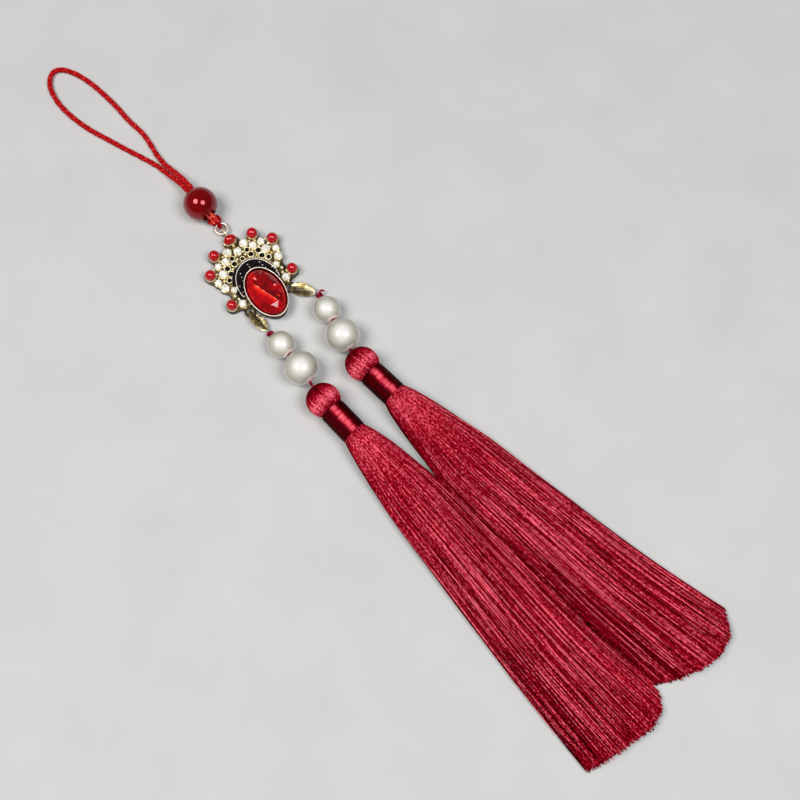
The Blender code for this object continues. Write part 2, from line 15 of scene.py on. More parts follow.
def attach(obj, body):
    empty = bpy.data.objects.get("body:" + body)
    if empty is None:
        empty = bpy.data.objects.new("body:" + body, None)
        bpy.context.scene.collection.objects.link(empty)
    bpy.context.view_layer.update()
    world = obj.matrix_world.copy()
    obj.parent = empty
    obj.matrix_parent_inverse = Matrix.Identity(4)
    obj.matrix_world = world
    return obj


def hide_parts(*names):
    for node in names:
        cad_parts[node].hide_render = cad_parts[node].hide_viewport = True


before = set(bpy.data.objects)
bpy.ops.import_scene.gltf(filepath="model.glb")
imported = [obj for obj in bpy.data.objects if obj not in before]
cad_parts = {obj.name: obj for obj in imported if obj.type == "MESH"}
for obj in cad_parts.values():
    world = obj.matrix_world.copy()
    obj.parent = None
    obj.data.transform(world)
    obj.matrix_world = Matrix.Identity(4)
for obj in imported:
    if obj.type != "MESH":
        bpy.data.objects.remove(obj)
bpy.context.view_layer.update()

MM = 0.001
MIDDLE = Vector((2.788, -61.490, 0.0))
MEDALLION_TURN = math.radians(-8.75)


def at(x, y, z=0.0):
    """A place in the frame's metres."""
    return (Vector((x, y, z)) - MIDDLE) * MM


# Camera and light

CAMERA_AT = Vector((-0.0590, -0.0435, 0.314))
CAMERA_RIGHT = Vector((0.72994, -0.68295, 0.02683))
CAMERA_UP = Vector((0.65511, 0.71030, 0.25743))
CAMERA_LENS, SENSOR, NEAREST = 50.67, 36.0, 0.01
# Columns: direction that the light comes from, distance, side of the panel, watts, colour
LAMPS = (
    ((-0.37, 0.25, 0.89), 1.25, 0.66, 10.4, (1.0, 0.98, 0.95)),
    ((0.16, -0.40, 0.90), 1.25, 0.66, 9.0, (0.97, 0.98, 1.0)),
)
SKY, SKY_STRENGTH = (0.93, 0.95, 1.0), 0.12


def set_camera():
    camera = bpy.data.objects.new("camera", bpy.data.cameras.new("camera"))
    camera.data.lens = CAMERA_LENS
    camera.data.sensor_width = SENSOR
    camera.data.clip_start = NEAREST
    back = CAMERA_RIGHT.cross(CAMERA_UP)
    turn = Matrix((CAMERA_RIGHT, CAMERA_UP, back)).transposed().to_4x4()
    camera.matrix_world = Matrix.Translation(CAMERA_AT) @ turn
    bpy.context.scene.collection.objects.link(camera)
    bpy.context.scene.camera = camera


def set_lights():
    for i, (direction, distance, side, watts, colour) in enumerate(LAMPS):
        lamp = bpy.data.lights.new(f"panel {i}", "AREA")
        lamp.shape = "DISK"
        lamp.size, lamp.energy, lamp.color = side, watts, colour
        holder = bpy.data.objects.new(f"panel {i}", lamp)
        toward = Vector(direction).normalized()
        holder.location = toward * distance
        holder.rotation_euler = toward.to_track_quat("Z", "Y").to_euler()
        bpy.context.scene.collection.objects.link(holder)
    world = bpy.data.worlds.new("soft room")
    world.use_nodes = True
    ground = world.node_tree.nodes["Background"]
    ground.inputs["Color"].default_value = (*SKY, 1.0)
    ground.inputs["Strength"].default_value = SKY_STRENGTH
    bpy.context.scene.world = world
    bpy.context.scene.view_settings.view_transform = "Standard"


# Materials


class Finish:
    """One material: a Principled shader, and the short chains of nodes that feed it."""

    def __init__(self, name, **values):
        self.material = bpy.data.materials.new(name)
        self.material.use_nodes = True
        self.tree = self.material.node_tree
        self.shader = self.tree.nodes["Principled BSDF"]
        for label, value in values.items():
            socket = self.shader.inputs[label.replace("_", " ")]
            socket.default_value = (*value, 1.0) if socket.type == "RGBA" else value

    def node(self, kind, **links):
        made = self.tree.nodes.new("ShaderNode" + kind)
        for label, value in links.items():
            self.feed(made.inputs[label.replace("_", " ")], value)
        return made

    def feed(self, socket, value):
        """Links a value from another node to a socket, or sets a plain one."""
        if isinstance(value, bpy.types.NodeSocket):
            self.tree.links.new(value, socket)
        else:
            socket.default_value = value

    def maths(self, operation, *values):
        made = self.node("Math")
        made.operation = operation
        for socket, value in zip(made.inputs, values):
            self.feed(socket, value)
        return made.outputs["Value"]

    def spot(self, scale=(1.0, 1.0, 1.0)):
        """The place on the object, scaled."""
        place = self.node("TexCoord").outputs["Object"]
        return self.node("Mapping", Vector=place, Scale=scale).outputs["Vector"]

    def height(self, low, high):
        """From 0 to 1 between two heights over the floor, in millimetres."""
        z = self.node("SeparateXYZ", Vector=self.spot()).outputs["Z"]
        return self.node("MapRange", Value=z, From_Min=low * MM, From_Max=high * MM).outputs["Result"]

    def grain(self, scale, spot=None, detail=3.0):
        """Soft noise from 0 to 1. The scale counts per metre."""
        noise = self.node("TexNoise", Vector=spot or self.spot(), Scale=scale, Detail=detail, Roughness=0.55)
        return noise.outputs["Fac"]

    def wander(self, value, size, scale, **kind):
        """A value that a grain moves to either side, by half the size at most."""
        around = self.maths("SUBTRACT", self.grain(scale, **kind), 0.5)
        return self.maths("MULTIPLY_ADD", around, size, value)

    def shade(self):
        """The shade that is kept in the mesh."""
        found = self.node("Attribute")
        found.attribute_name = "shade"
        return found.outputs["Fac"]

    def ramp(self, value, stops):
        made = self.node("ValToRGB", Fac=value)
        bars = made.color_ramp.elements
        while len(bars) < len(stops):
            bars.new(0.5)
        for bar, (place, colour) in zip(bars, stops):
            bar.position = place
            bar.color = (*colour, 1.0) if isinstance(colour, tuple) else (colour, colour, colour, 1.0)
        return made.outputs["Color"]

    def colour(self, value, stops):
        self.feed(self.shader.inputs["Base Color"], self.ramp(value, stops))

    def rough(self, scale, low, high):
        spread = self.node("MapRange", Value=self.grain(scale), To_Min=low, To_Max=high)
        self.feed(self.shader.inputs["Roughness"], spread.outputs["Result"])

    def relief(self, scale, depth, strength, detail=3.0):
        """Fine relief. The depth is in millimetres."""
        grain = self.grain(scale, detail=detail)
        bump = self.node("Bump", Height=grain, Distance=depth * MM, Strength=strength)
        self.feed(self.shader.inputs["Normal"], bump.outputs["Normal"])


# Columns: name, roughness, size of the flecks, how short they are, then the colours from dark to a painted
# glint
THREADS = {
    "cord": (
        ("scarlet cord", 0.45, 0.9, 1.0),
        ((0.12, 0.0, 0.002), (0.40, 0.002, 0.007), (0.74, 0.04, 0.03), (0.95, 0.16, 0.11)),
    ),
    "silk": (
        ("crimson silk", 0.42, 1.95, 0.30),
        ((0.014, 0.0, 0.0001), (0.25, 0.0006, 0.007), (0.57, 0.009, 0.037), (1.0, 0.19, 0.265)),
    ),
    "satin": (
        ("wound satin", 0.38, 0.5, 1.0),
        ((0.009, 0.0, 0.0001), (0.19, 0.001, 0.007), (0.64, 0.045, 0.08), (0.90, 0.13, 0.19)),
    ),
    "thread": (
        ("dark red thread", 0.42, 0.9, 1.0),
        ((0.05, 0.0, 0.004), (0.20, 0.003, 0.02), (0.42, 0.015, 0.05), (0.60, 0.05, 0.10)),
    ),
}
THREAD_STOPS = (0.0, 0.5, 0.82, 1.0)
FLECKS = 4200.0


def make_thread(name, roughness, fleck, run, colours):
    """Every thread has a shade kept in the mesh, and flecks of painted glint and shade where its twist
    shows.
    """
    silk = Finish(name, Specular_IOR_Level=0.02)
    shade = silk.wander(silk.shade(), fleck, FLECKS, spot=silk.spot((1.0, run, 1.0)), detail=1.5)
    silk.colour(shade, tuple(zip(THREAD_STOPS, colours)))
    silk.rough(900.0, roughness - 0.06, roughness + 0.10)
    silk.relief(6000.0, 0.03, 0.6)
    return silk.material


def make_plain(name, scale, stops, rough, relief=None, detail=3.0, **values):
    """A finish whose colour wanders over its stops with one grain, and its roughness with a finer one."""
    finish = Finish(name, **values)
    finish.colour(finish.grain(scale, detail=detail), stops)
    finish.rough(*rough)
    if relief:
        finish.relief(*relief)
    return finish.material


def make_glass():
    """The bead, the studs, the small stones and the crescent's dark ones."""
    bead = make_plain(
        "deep red glass", 260.0, ((0.25, (0.11, 0.0, 0.0005)), (0.75, (0.21, 0.0, 0.001))),
        rough=(1800.0, 0.05, 0.10), IOR=2.0, Specular_Tint=(1.0, 0.20, 0.23),
        Coat_Weight=0.15, Coat_Roughness=0.03,
    )
    stud = make_plain(
        "red stud glaze", 700.0, ((0.3, (0.40, 0.0003, 0.004)), (0.8, (0.60, 0.002, 0.008))),
        rough=(2600.0, 0.08, 0.18), IOR=1.9, Specular_Tint=(1.0, 0.60, 0.60),
    )
    crystal = make_plain(
        "cream crystal", 1300.0,
        ((0.30, (0.42, 0.39, 0.27)), (0.46, (0.86, 0.84, 0.72)), (0.60, (1.0, 1.0, 0.97))),
        rough=(3000.0, 0.04, 0.12), IOR=1.6, Coat_Weight=0.7, Coat_Roughness=0.03,
        Subsurface_Weight=0.15, Subsurface_Radius=(0.6, 0.5, 0.4), Subsurface_Scale=MM,
    )
    dark = make_plain(
        "dark cut grain", 1100.0, ((0.35, (0.002, 0.001, 0.002)), (0.7, (0.016, 0.009, 0.013))),
        rough=(2600.0, 0.06, 0.16), Specular_IOR_Level=0.5,
    )
    return {"bead": bead, "stud": stud, "crystal": crystal, "dark": dark}


def make_metals():
    """Raised gold, the clasps' worn sheet, and the bright wire."""
    gold = make_plain(
        "pale gold plating", 700.0,
        ((0.30, (0.74, 0.58, 0.24)), (0.48, (1.0, 0.88, 0.52)), (0.68, (1.0, 0.98, 0.78))),
        rough=(2600.0, 0.10, 0.62), relief=(4200.0, 0.03, 0.6, 2.0), Metallic=0.72,
    )
    leaf_stops = (
        (0.30, (0.16, 0.10, 0.03)),
        (0.47, (0.50, 0.38, 0.16)),
        (0.62, (0.95, 0.86, 0.58)),
        (0.8, (1.0, 0.97, 0.82)),
    )
    leaf = make_plain(
        "worn gold sheet", 620.0, leaf_stops, detail=4.0,
        rough=(2600.0, 0.12, 0.55), relief=(2200.0, 0.06, 0.8, 2.0), Metallic=1.0,
    )
    rim = make_plain(
        "bright rim", 900.0, ((0.3, (0.90, 0.80, 0.70)), (0.8, (1.0, 0.96, 0.90))),
        rough=(2400.0, 0.30, 0.60), Metallic=1.0,
    )
    return {"gold": gold, "leaf": leaf, "rim": rim}


def make_plate_finish():
    """Gold with painted shade in the plate's depths, and bright along its top."""
    plate = Finish("gold plate shaded in its depths", Metallic=0.72)
    # Painted shade: darker the lower it lies in the plate, moved a little by a grain
    worn = plate.maths("MULTIPLY_ADD", plate.grain(1300.0), 0.35, plate.height(1.35, 2.1))
    stops = (
        (0.15, (0.010, 0.006, 0.003)),
        (0.78, (0.09, 0.06, 0.02)),
        (0.95, (0.52, 0.40, 0.16)),
        (1.0, (0.95, 0.83, 0.48)),
    )
    plate.colour(worn, stops)
    plate.rough(1900.0, 0.20, 0.60)
    plate.relief(3600.0, 0.05, 0.8)
    return plate.material


def make_brim_finish():
    """The rolled rim round the oval stone, with painted shade below the top of its roll."""
    brim = Finish("rolled bright brim", Metallic=1.0)
    # Painted shade: dark below the top of the roll
    painted_roll_shade = brim.maths("MULTIPLY_ADD", brim.grain(900.0), 0.2, brim.height(3.85, 4.2))
    brim.colour(painted_roll_shade, ((0.25, (0.07, 0.045, 0.03)), (0.85, (0.98, 0.88, 0.80))))
    brim.rough(2400.0, 0.30, 0.60)
    return brim.material


def make_pearl_finish():
    """Nacre, with its painted light and shade kept in the mesh."""
    pearl = Finish(
        "ivory pearl", IOR=1.5, Coat_Weight=0.75, Coat_Roughness=0.04, Coat_IOR=1.75,
        Subsurface_Weight=0.1, Subsurface_Radius=(1.0, 0.8, 0.6), Subsurface_Scale=MM,
    )
    stops = (
        (0.0, (0.30, 0.28, 0.225)),
        (0.45, (0.62, 0.60, 0.52)),
        (0.75, (0.86, 0.845, 0.79)),
        (1.0, (0.86, 0.66, 0.63)),
    )
    pearl.colour(pearl.wander(pearl.shade(), 0.25, 330.0, detail=4.0), stops)
    pearl.rough(1500.0, 0.26, 0.36)
    pearl.relief(2600.0, 0.004, 0.4)
    return pearl.material


GEM_HALF = (4.95, 7.73)
GEM_SECTORS = 12
# A point on the keel, and the way from it to its bright side
GEM_KEEL, GEM_KEEL_SIDE = (-0.30, 0.31), (-0.86, -0.51)
# Columns: place across the keel, from its dark side to its bright one, and the painted shade there
GEM_FLASH = (
    (0.25, 0.22), (0.49, 0.04), (0.50, 0.80), (0.525, 0.58),
    (0.59, 0.52), (0.62, 0.32), (0.85, 0.36),
)
# Columns: share of the turn round the stone, and how bright a small facet's painted glint is there
GEM_GLINTS = (
    (0.36, 0.0), (0.372, 0.8), (0.39, 0.0),
    (0.485, 0.0), (0.50, 1.0), (0.515, 0.0),
    (0.775, 0.0), (0.79, 0.9), (0.805, 0.0),
)
# Columns: shade, and its red, from near black up to the pink of a painted glint
GEM_REDS = (
    (0.05, (0.07, 0.0, 0.001)),
    (0.30, (0.24, 0.0, 0.002)),
    (0.55, (0.55, 0.001, 0.004)),
    (0.78, (0.85, 0.02, 0.01)),
    (0.92, (1.0, 0.14, 0.04)),
    (1.0, (1.0, 0.42, 0.36)),
)


def make_gem_finish():
    """The cut stone: each back facet that shows through is painted its own red, from near black to orange,
    as painted reflections.
    """
    gem = Finish("cut red stone", Specular_IOR_Level=0.55, Coat_Weight=0.15, Coat_Roughness=0.02)
    maths = gem.maths
    centred = gem.node("Mapping", Vector=gem.node("TexCoord").outputs["Object"], Location=-at(0.0, 0.0))
    turned = gem.node("Mapping", Vector=centred.outputs["Vector"], Rotation=(0.0, 0.0, -MEDALLION_TURN))
    parts = gem.node("SeparateXYZ", Vector=turned.outputs["Vector"])
    x = maths("DIVIDE", parts.outputs["X"], GEM_HALF[0] * MM)
    y = maths("DIVIDE", parts.outputs["Y"], GEM_HALF[1] * MM)
    away = maths("SQRT", maths("MULTIPLY_ADD", x, x, maths("MULTIPLY", y, y)))
    angle = maths("ARCTAN2", y, x)
    around = maths("MULTIPLY", angle, GEM_SECTORS / (2 * math.pi))
    zigzag = maths("PINGPONG", around, 0.5)
    ring = maths("FLOOR", maths("MULTIPLY", maths("MULTIPLY_ADD", zigzag, 0.26, away), 3.4))
    facet = gem.node("CombineXYZ", X=maths("FLOOR", around), Y=ring, Z=3.0)
    chance = gem.node("TexWhiteNoise", Vector=facet.outputs["Vector"]).outputs["Value"]

    # Painted reflection: the keel is dark on one side, with a bright flash that fades on the other
    over = maths("MULTIPLY_ADD", x, GEM_KEEL_SIDE[0], maths("MULTIPLY", y, GEM_KEEL_SIDE[1]))
    aside = maths("SUBTRACT", over, GEM_KEEL[0] * GEM_KEEL_SIDE[0] + GEM_KEEL[1] * GEM_KEEL_SIDE[1])
    bent = gem.wander(aside, 0.10, 700.0, detail=1.0)
    flash = gem.ramp(maths("MULTIPLY_ADD", bent, 0.5, 0.5), GEM_FLASH)
    table = maths("LESS_THAN", maths("MULTIPLY_ADD", zigzag, 0.16, away), 0.66)
    inner = maths("MULTIPLY", maths("MULTIPLY_ADD", chance, 0.22, flash), table)
    outer = maths("MULTIPLY", maths("MULTIPLY_ADD", chance, 0.50, 0.14), maths("SUBTRACT", 1.0, table))

    # Painted pink glints on a few small facets round the table, and a darker rim
    glints = gem.ramp(maths("MULTIPLY_ADD", angle, 0.5 / math.pi, 0.5), GEM_GLINTS)
    shown = maths("MULTIPLY", glints, maths("COMPARE", away, 0.62, 0.075))
    rim = maths("MULTIPLY", maths("GREATER_THAN", away, 0.955), -0.25)
    total = maths("ADD", maths("ADD", maths("ADD", inner, outer), shown), gem.wander(rim, 0.45, 900.0))
    gem.colour(total, GEM_REDS)
    gem.rough(2200.0, 0.03, 0.09)
    return gem.material


def make_finishes():
    made = {key: make_thread(*row, colours) for key, (row, colours) in THREADS.items()}
    made |= make_glass()
    made |= make_metals()
    made["plate"] = make_plate_finish()
    made["brim"] = make_brim_finish()
    made["pearl"] = make_pearl_finish()
    made["gem"] = make_gem_finish()
    floor_stops = ((0.3, (0.54, 0.54, 0.535)), (0.7, (0.58, 0.58, 0.575)))
    made["floor"] = make_plain("pale floor", 35.0, floor_stops, rough=(120.0, 0.6, 0.75))
    return made


# Ways of making


def smooth_points(route, step):
    """Points about a step apart on the smooth curve through the route's own points."""
    knots = [Vector(p) for p in route]
    knots = [2 * knots[0] - knots[1], *knots, 2 * knots[-1] - knots[-2]]
    found = []
    for a, b, c, d in zip(knots, knots[1:], knots[2:], knots[3:]):
        count = max(1, round((c - b).length / step))
        for i in range(count):
            t = i / count
            bend = (2 * a - 5 * b + 4 * c - d) * t * t + (3 * b - a - 3 * c + d) * t**3
            found.append(b + 0.5 * ((c - a) * t + bend))
    return [*found, knots[-2]]


def show(name, mesh, finish, stands_for=(), smooth=True):
    """Puts a finished mesh in the scene as a piece of the pendant."""
    mesh.name = name
    mesh.materials.clear()
    mesh.materials.append(FINISHES[finish])
    if smooth:
        mesh.shade_smooth()
        mesh.set_sharp_from_angle(angle=math.radians(50))
    else:
        mesh.shade_flat()
    thing = bpy.data.objects.new(name.replace(" ", "_"), mesh)
    bpy.context.scene.collection.objects.link(thing)
    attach(thing, "root")
    if stands_for:
        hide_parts(*stands_for)
    return thing


def shade_by(mesh, shades):
    """Keeps a shade for every point of the mesh, which its finish reads."""
    mesh.attributes.new("shade", "FLOAT", "POINT").data.foreach_set("value", shades)
    return mesh


def mesh_from(shape):
    mesh = bpy.data.meshes.new("part")
    shape.to_mesh(mesh)
    shape.free()
    return mesh


def settled(shape, matrix=Matrix.Identity(4)):
    """The mesh of a shape, brought from millimetres in its own directions to the frame's metres."""
    to_frame = Matrix.Scale(MM, 4) @ Matrix.Translation(-MIDDLE) @ matrix
    bmesh.ops.transform(shape, matrix=to_frame, verts=shape.verts)
    return mesh_from(shape)


def standing(place, axis):
    """Stands a piece at a place with its own Z along the axis."""
    turn = Vector(axis).to_track_quat("Z", "Y").to_matrix().to_4x4()
    return Matrix.Translation(Vector(place)) @ turn


def on_medallion(across=0.0, along=0.0, z=0.0):
    """A place on the medallion, turned with it."""
    return Matrix.Rotation(MEDALLION_TURN, 4, "Z") @ Matrix.Translation((across, along, z))


def put(into, part, matrix=Matrix.Identity(4)):
    """Adds a copy of a part to a shape, moved by the matrix."""
    before = len(into.verts)
    into.from_mesh(part)
    into.verts.ensure_lookup_table()
    bmesh.ops.transform(into, matrix=matrix, verts=into.verts[before:])


def set_on(shape, part, across, along, z, size, turn=0.0):
    """Adds a copy of a part at a place on the medallion, stretched to a size and then turned."""
    own = Matrix.Rotation(turn, 4, "Z") @ Matrix.Diagonal((*size, 1.0))
    put(shape, part, on_medallion(across, along, z) @ own)


def new_verts(result):
    return [part for part in result["geom"] if isinstance(part, bmesh.types.BMVert)]


def spun(profile, steps, closed=False):
    """A shape spun round its upright axis from its side, drawn as (radius, height) pairs."""
    shape = bmesh.new()
    points = [shape.verts.new((r, 0.0, h)) for r, h in profile]
    pairs = [*zip(points, points[1:]), *([(points[-1], points[0])] if closed else [])]
    side = [*points, *(shape.edges.new(pair) for pair in pairs)]
    turn = {"axis": (0, 0, 1), "cent": (0, 0, 0), "angle": 2 * math.pi}
    bmesh.ops.spin(shape, geom=side, steps=steps, use_merge=True, **turn)
    bmesh.ops.remove_doubles(shape, verts=shape.verts, dist=1e-5)
    bmesh.ops.recalc_face_normals(shape, faces=shape.faces)
    return shape


def torus(radius, wire, steps=48, sides=12):
    return spun(arc((radius, 0.0), wire, 0, 360, sides)[:-1], steps, closed=True)


def arc(middle, radius, start, end, count):
    """(radius, height) pairs round a middle, between two angles from straight up, in degrees."""
    angles = [math.radians(start + (end - start) * i / count) for i in range(count + 1)]
    return [(middle[0] + radius * math.sin(a), middle[1] + radius * math.cos(a)) for a in angles]


def drawn(stations, sides=10):
    """A bar drawn through stations of (middle, across, up), whose two vectors are its half sizes."""
    shape = bmesh.new()
    bmesh.ops.create_circle(shape, cap_ends=True, segments=sides, radius=1.0)
    (face,) = shape.faces
    rim = [(vert.co.x, vert.co.y) for vert in face.verts]
    for i, (middle, across, up) in enumerate(stations):
        if i:
            (face,) = bmesh.ops.extrude_discrete_faces(shape, faces=[face])["faces"]
        for vert, (a, b) in zip(face.verts, rim):
            vert.co = middle + across * a + up * b
    open_edges = [edge for edge in shape.edges if edge.is_boundary]
    bmesh.ops.holes_fill(shape, edges=open_edges, sides=0)
    bmesh.ops.recalc_face_normals(shape, faces=shape.faces)
    return shape


def tubes(lines, radius, widths=None, sides=4, shades=None):
    """One mesh of many round threads, each line with as many points as the others."""
    curve = bpy.data.curves.new("threads", "CURVE")
    curve.dimensions = "3D"
    curve.bevel_depth = radius * MM
    curve.bevel_resolution = (sides - 4) // 2
    curve.use_fill_caps = True
    count = len(lines[0])
    for line in lines:
        spline = curve.splines.new("POLY")
        spline.points.add(count - 1)
        places = np.ones((count, 4))
        places[:, :3] = (np.asarray(line) - np.asarray(MIDDLE)) * MM
        spline.points.foreach_set("co", places.ravel())
        if widths is not None:
            spline.points.foreach_set("radius", widths)
    holder = bpy.data.objects.new("threads", curve)
    mesh = bpy.data.meshes.new_from_object(holder)
    bpy.data.objects.remove(holder)
    bpy.data.curves.remove(curve)
    shades = np.full(len(lines), 0.5) if shades is None else np.asarray(shades)
    shades = np.broadcast_to(shades[:, None] if shades.ndim == 1 else shades, (len(lines), count))
    caps = np.repeat(shades[::-1, [0, -1]].ravel(), sides)
    walls = np.repeat(shades.ravel(), sides)
    shade_by(mesh, np.concatenate((caps, walls)))
    welded = bmesh.new()
    welded.from_mesh(mesh)
    bmesh.ops.remove_doubles(welded, verts=welded.verts, dist=0.002 * MM)
    welded.to_mesh(mesh)
    welded.free()
    return mesh


def laid(route, radius, pitch, ply, step, braided=False):
    """The lines of the strands in a cord along a route: laid one way round, or braided both ways."""
    points = smooth_points(route, step)
    across = Vector((0.0, 0.0, 1.0)).cross(points[1] - points[0]).normalized()
    lines = [[] for _ in range(ply * (2 if braided else 1))]
    gone = 0.0
    for i, point in enumerate(points):
        ahead = (points[min(i + 1, len(points) - 1)] - points[max(i - 1, 0)]).normalized()
        across = (across - ahead * across.dot(ahead)).normalized()
        up = ahead.cross(across)
        gone += (point - points[i - 1]).length if i else 0.0
        for k, line in enumerate(lines):
            way = -1 if k >= ply else 1
            turn = way * 2 * math.pi * gone / pitch + 2 * math.pi * k / ply
            out = radius * (1 + (0.30 * way * math.sin(ply * turn) if braided else 0.0))
            line.append(point + (across * math.cos(turn) + up * math.sin(turn)) * out)
    return lines


def overhand(middle, half, count):
    """Points round an overhand knot, drawn tight to three half sizes."""
    found = []
    for i in range(count + 1):
        t = 2 * math.pi * i / count
        x = (math.sin(t) + 2 * math.sin(2 * t)) / 3
        z = (math.cos(t) - 2 * math.cos(2 * t)) / 3
        found.append(middle + Vector((x * half[0], -math.sin(3 * t) * half[1], z * half[2])))
    return found


# Hanging cord, bead and knot

LOOP_SHADES = (0.45, 0.62, 0.5, 0.68, 0.42, 0.58, 0.5, 0.72)
# Columns: x, y, z of the cord's middle line in metres, from inside the bead, round the loop, and back
LOOP_ROUTE = (
    (0.001712, 0.096090, 0.005600),
    (0.001962, 0.099090, 0.005950),
    (0.002192, 0.102290, 0.005750),
    (0.002332, 0.106490, 0.004200),
    (0.002192, 0.110290, 0.002750),
    (0.002072, 0.113890, 0.001550),
    (0.002562, 0.118390, 0.000900),
    (0.003442, 0.122790, 0.000820),
    (0.003932, 0.126790, 0.000820),
    (0.003612, 0.132890, 0.000820),
    (0.003812, 0.137990, 0.000820),
    (0.003692, 0.143790, 0.000820),
    (0.003072, 0.150490, 0.000820),
    (0.001812, 0.155690, 0.000820),
    (-0.000038, 0.159390, 0.000820),
    (-0.002388, 0.161040, 0.000820),
    (-0.005088, 0.159990, 0.000820),
    (-0.007138, 0.157190, 0.000820),
    (-0.008338, 0.152690, 0.000820),
    (-0.008568, 0.148290, 0.000820),
    (-0.008128, 0.143490, 0.000820),
    (-0.007068, 0.138090, 0.000820),
    (-0.005088, 0.131790, 0.000820),
    (-0.003238, 0.125990, 0.000820),
    (-0.001268, 0.120090, 0.000820),
    (0.000212, 0.115090, 0.000900),
    (0.000762, 0.110390, 0.001450),
    (0.001132, 0.106490, 0.002850),
    (0.001012, 0.102290, 0.004450),
    (0.000812, 0.099090, 0.004700),
    (0.000532, 0.096090, 0.004400),
)
BEAD, BEAD_MOUTH, BEAD_AT, BEAD_AXIS = 10.0, 4.0, (3.70, 33.60, 5.00), (0.085, 1.0, 0.09)
STEM_ROUTE = (
    (3.66, 33.20, 4.96),
    (3.50, 30.60, 4.72),
    (3.60, 28.70, 4.40),
    (3.80, 27.66, 3.60),
    (3.86, 27.2, 2.9),
)
KNOT_AT, KNOT_HALF = Vector((3.95, 28.16, 1.52)), (1.5645, 0.85, 1.00)
RING_WIRE, RING_RADIUS, RING_UP, RING_Z = 0.37, 1.77, 25.0, 1.6
CORD_EYE = 1.09


def add_hanging_loop():
    route = [Vector(p) / MM + MIDDLE for p in LOOP_ROUTE]
    mesh = tubes(laid(route, 0.50, 3.3, 4, 0.36, braided=True), 0.285, shades=LOOP_SHADES)
    loop = show("braided loop", mesh, "cord", ["hanging_loop"])


GLOW = Vector((-0.13, -0.14, 0.98)).normalized()  # the side of a pearl that looks brightest
# Columns: degrees from that side, and the painted light and shade of the nacre there
PEARL_PAINTED_LIGHT = ((0, 0.84), (22, 0.66), (44, 0.28), (62, 0.14), (80, 0.66), (120, 0.50))
MOUTH_SHADE, MOUTH_BAND = 1.0, 0.22


def bored_ball(name, size, mouth, place, axis, finish, node):
    """A ball with a bore right through and softly rounded mouths."""
    radius, bore, soft = size / 2, mouth / 2, 0.16 * mouth / 2
    opens = math.degrees(math.asin((bore + soft) / radius))
    lip = radius * math.cos(math.radians(opens)) - soft * 0.85
    side = arc((0.0, 0.0), radius, opens, 180 - opens, 40)
    top = arc((bore + soft, lip), soft, -90, -10, 4)
    bottom = [(r, -h) for r, h in reversed(top)]
    shape = spun([*top, *side, *bottom], 72, closed=True)
    stand = standing(place, axis)
    # Painted light and shade on the nacre, by how far each point faces from the side that looks brightest
    shades = []
    for vert in shape.verts:
        facing = (stand.to_3x3() @ vert.co).normalized().dot(GLOW)
        down = math.degrees(math.acos(max(-1.0, min(1.0, facing))))
        in_mouth = abs(vert.co.z) > lip - MOUTH_BAND
        shades.append(MOUTH_SHADE if in_mouth else float(np.interp(down, *zip(*PEARL_PAINTED_LIGHT))))
    show(name, shade_by(settled(shape, stand), shades), finish, [node])


def add_knotted_cord():
    """The stem from the bead, an overhand knot, and the eye of cord round the ring."""
    stem = laid(STEM_ROUTE, 0.78, 3.2, 4, 0.28, braided=True)
    wraps = laid(overhand(KNOT_AT, KNOT_HALF, 72), 0.34, 2.2, 4, 0.35)
    ring_at = on_medallion(0.0, RING_UP + RING_RADIUS, RING_Z)
    turns = np.linspace(0, 2 * math.pi, 25)
    eye = [ring_at @ Vector((0.0, CORD_EYE * math.cos(a), CORD_EYE * math.sin(a))) for a in turns]
    shape = bmesh.new()
    for lines, radius in ((stem, 0.37), (wraps, 0.30), (laid(eye, 0.34, 2.2, 4, 0.30), 0.27)):
        put(shape, tubes(lines, radius, shades=[0.3 + 0.12 * k for k in range(len(lines))]))
    show("overhand knot", mesh_from(shape), "cord", ["knotted_cord"])


def add_top_ring():
    mesh = settled(torus(RING_RADIUS, RING_WIRE), on_medallion(0.0, RING_UP, RING_Z))
    show("wire ring", mesh, "rim", ["top_ring"])


# Medallion

PLATE_T, PLATE_MARGIN, PLATE_SOFT = 1.8, 0.25, 0.16
PLATE_BASE, CROWN_MIDDLE, CROWN_HALF = (5.2, 8.0), 5.0, (9.3, 12.0)
EYE_ROOT, EYE_ROOT_HALF, EYE_WIRE = 21.2, (1.1, 1.15), 0.33
LUG_AT, LUG_RADIUS, LUG_WIRE, LUG_Z = (6.95, -1.9), 1.35, 0.34, 1.45
BEZEL_OUTER = (5.72, 8.50)
CRESCENT_MIDDLE, CRESCENT_HALF, CRESCENT_FROM = 4.3, (6.30, 7.55), 2.6
SEAT = 2.1
# Columns: name, across, along, half width, half length. Here and in the next three tables every row but
# the first has a twin.
STUDS = (
    ("top", 0.0, 20.2, 2.10, 1.45),
    ("upper", 6.6, 18.4, 1.70, 1.70),
    ("side", 10.75, 13.75, 1.70, 1.70),
    ("lower", 10.45, 2.45, 1.60, 1.70),
)
# Columns: name, across, along, radius
STONES = (
    ("crown", 0.0, 15.9, 1.20),
    ("a", 2.8, 17.2, 1.25),
    ("b", 4.8, 15.1, 1.15),
    ("c", 7.4, 14.9, 1.05),
    ("d", 7.4, 12.05, 1.30),
    ("e", 10.0, 10.6, 1.05),
    ("f", 9.2, 8.1, 1.20),
    ("g", 7.3, 6.2, 0.95),
    ("h", 7.5, 1.3, 1.15),
)
# Columns: across, along, half size of the openings in the metalwork
OPENWORK = (
    (0.0, 13.35, 0.62),
    (2.60, 15.05, 0.72),
    (2.85, 13.25, 0.82),
    (5.35, 13.10, 0.84),
    (5.35, 11.10, 0.84),
    (6.75, 9.65, 0.74),
)
OPENING_FULLNESS = 0.82
# Height of black discs under the openings: painted shadow where the openings would show the pale floor
HOLE_SHADOW_Z = 1.35  # of the black behind the openings
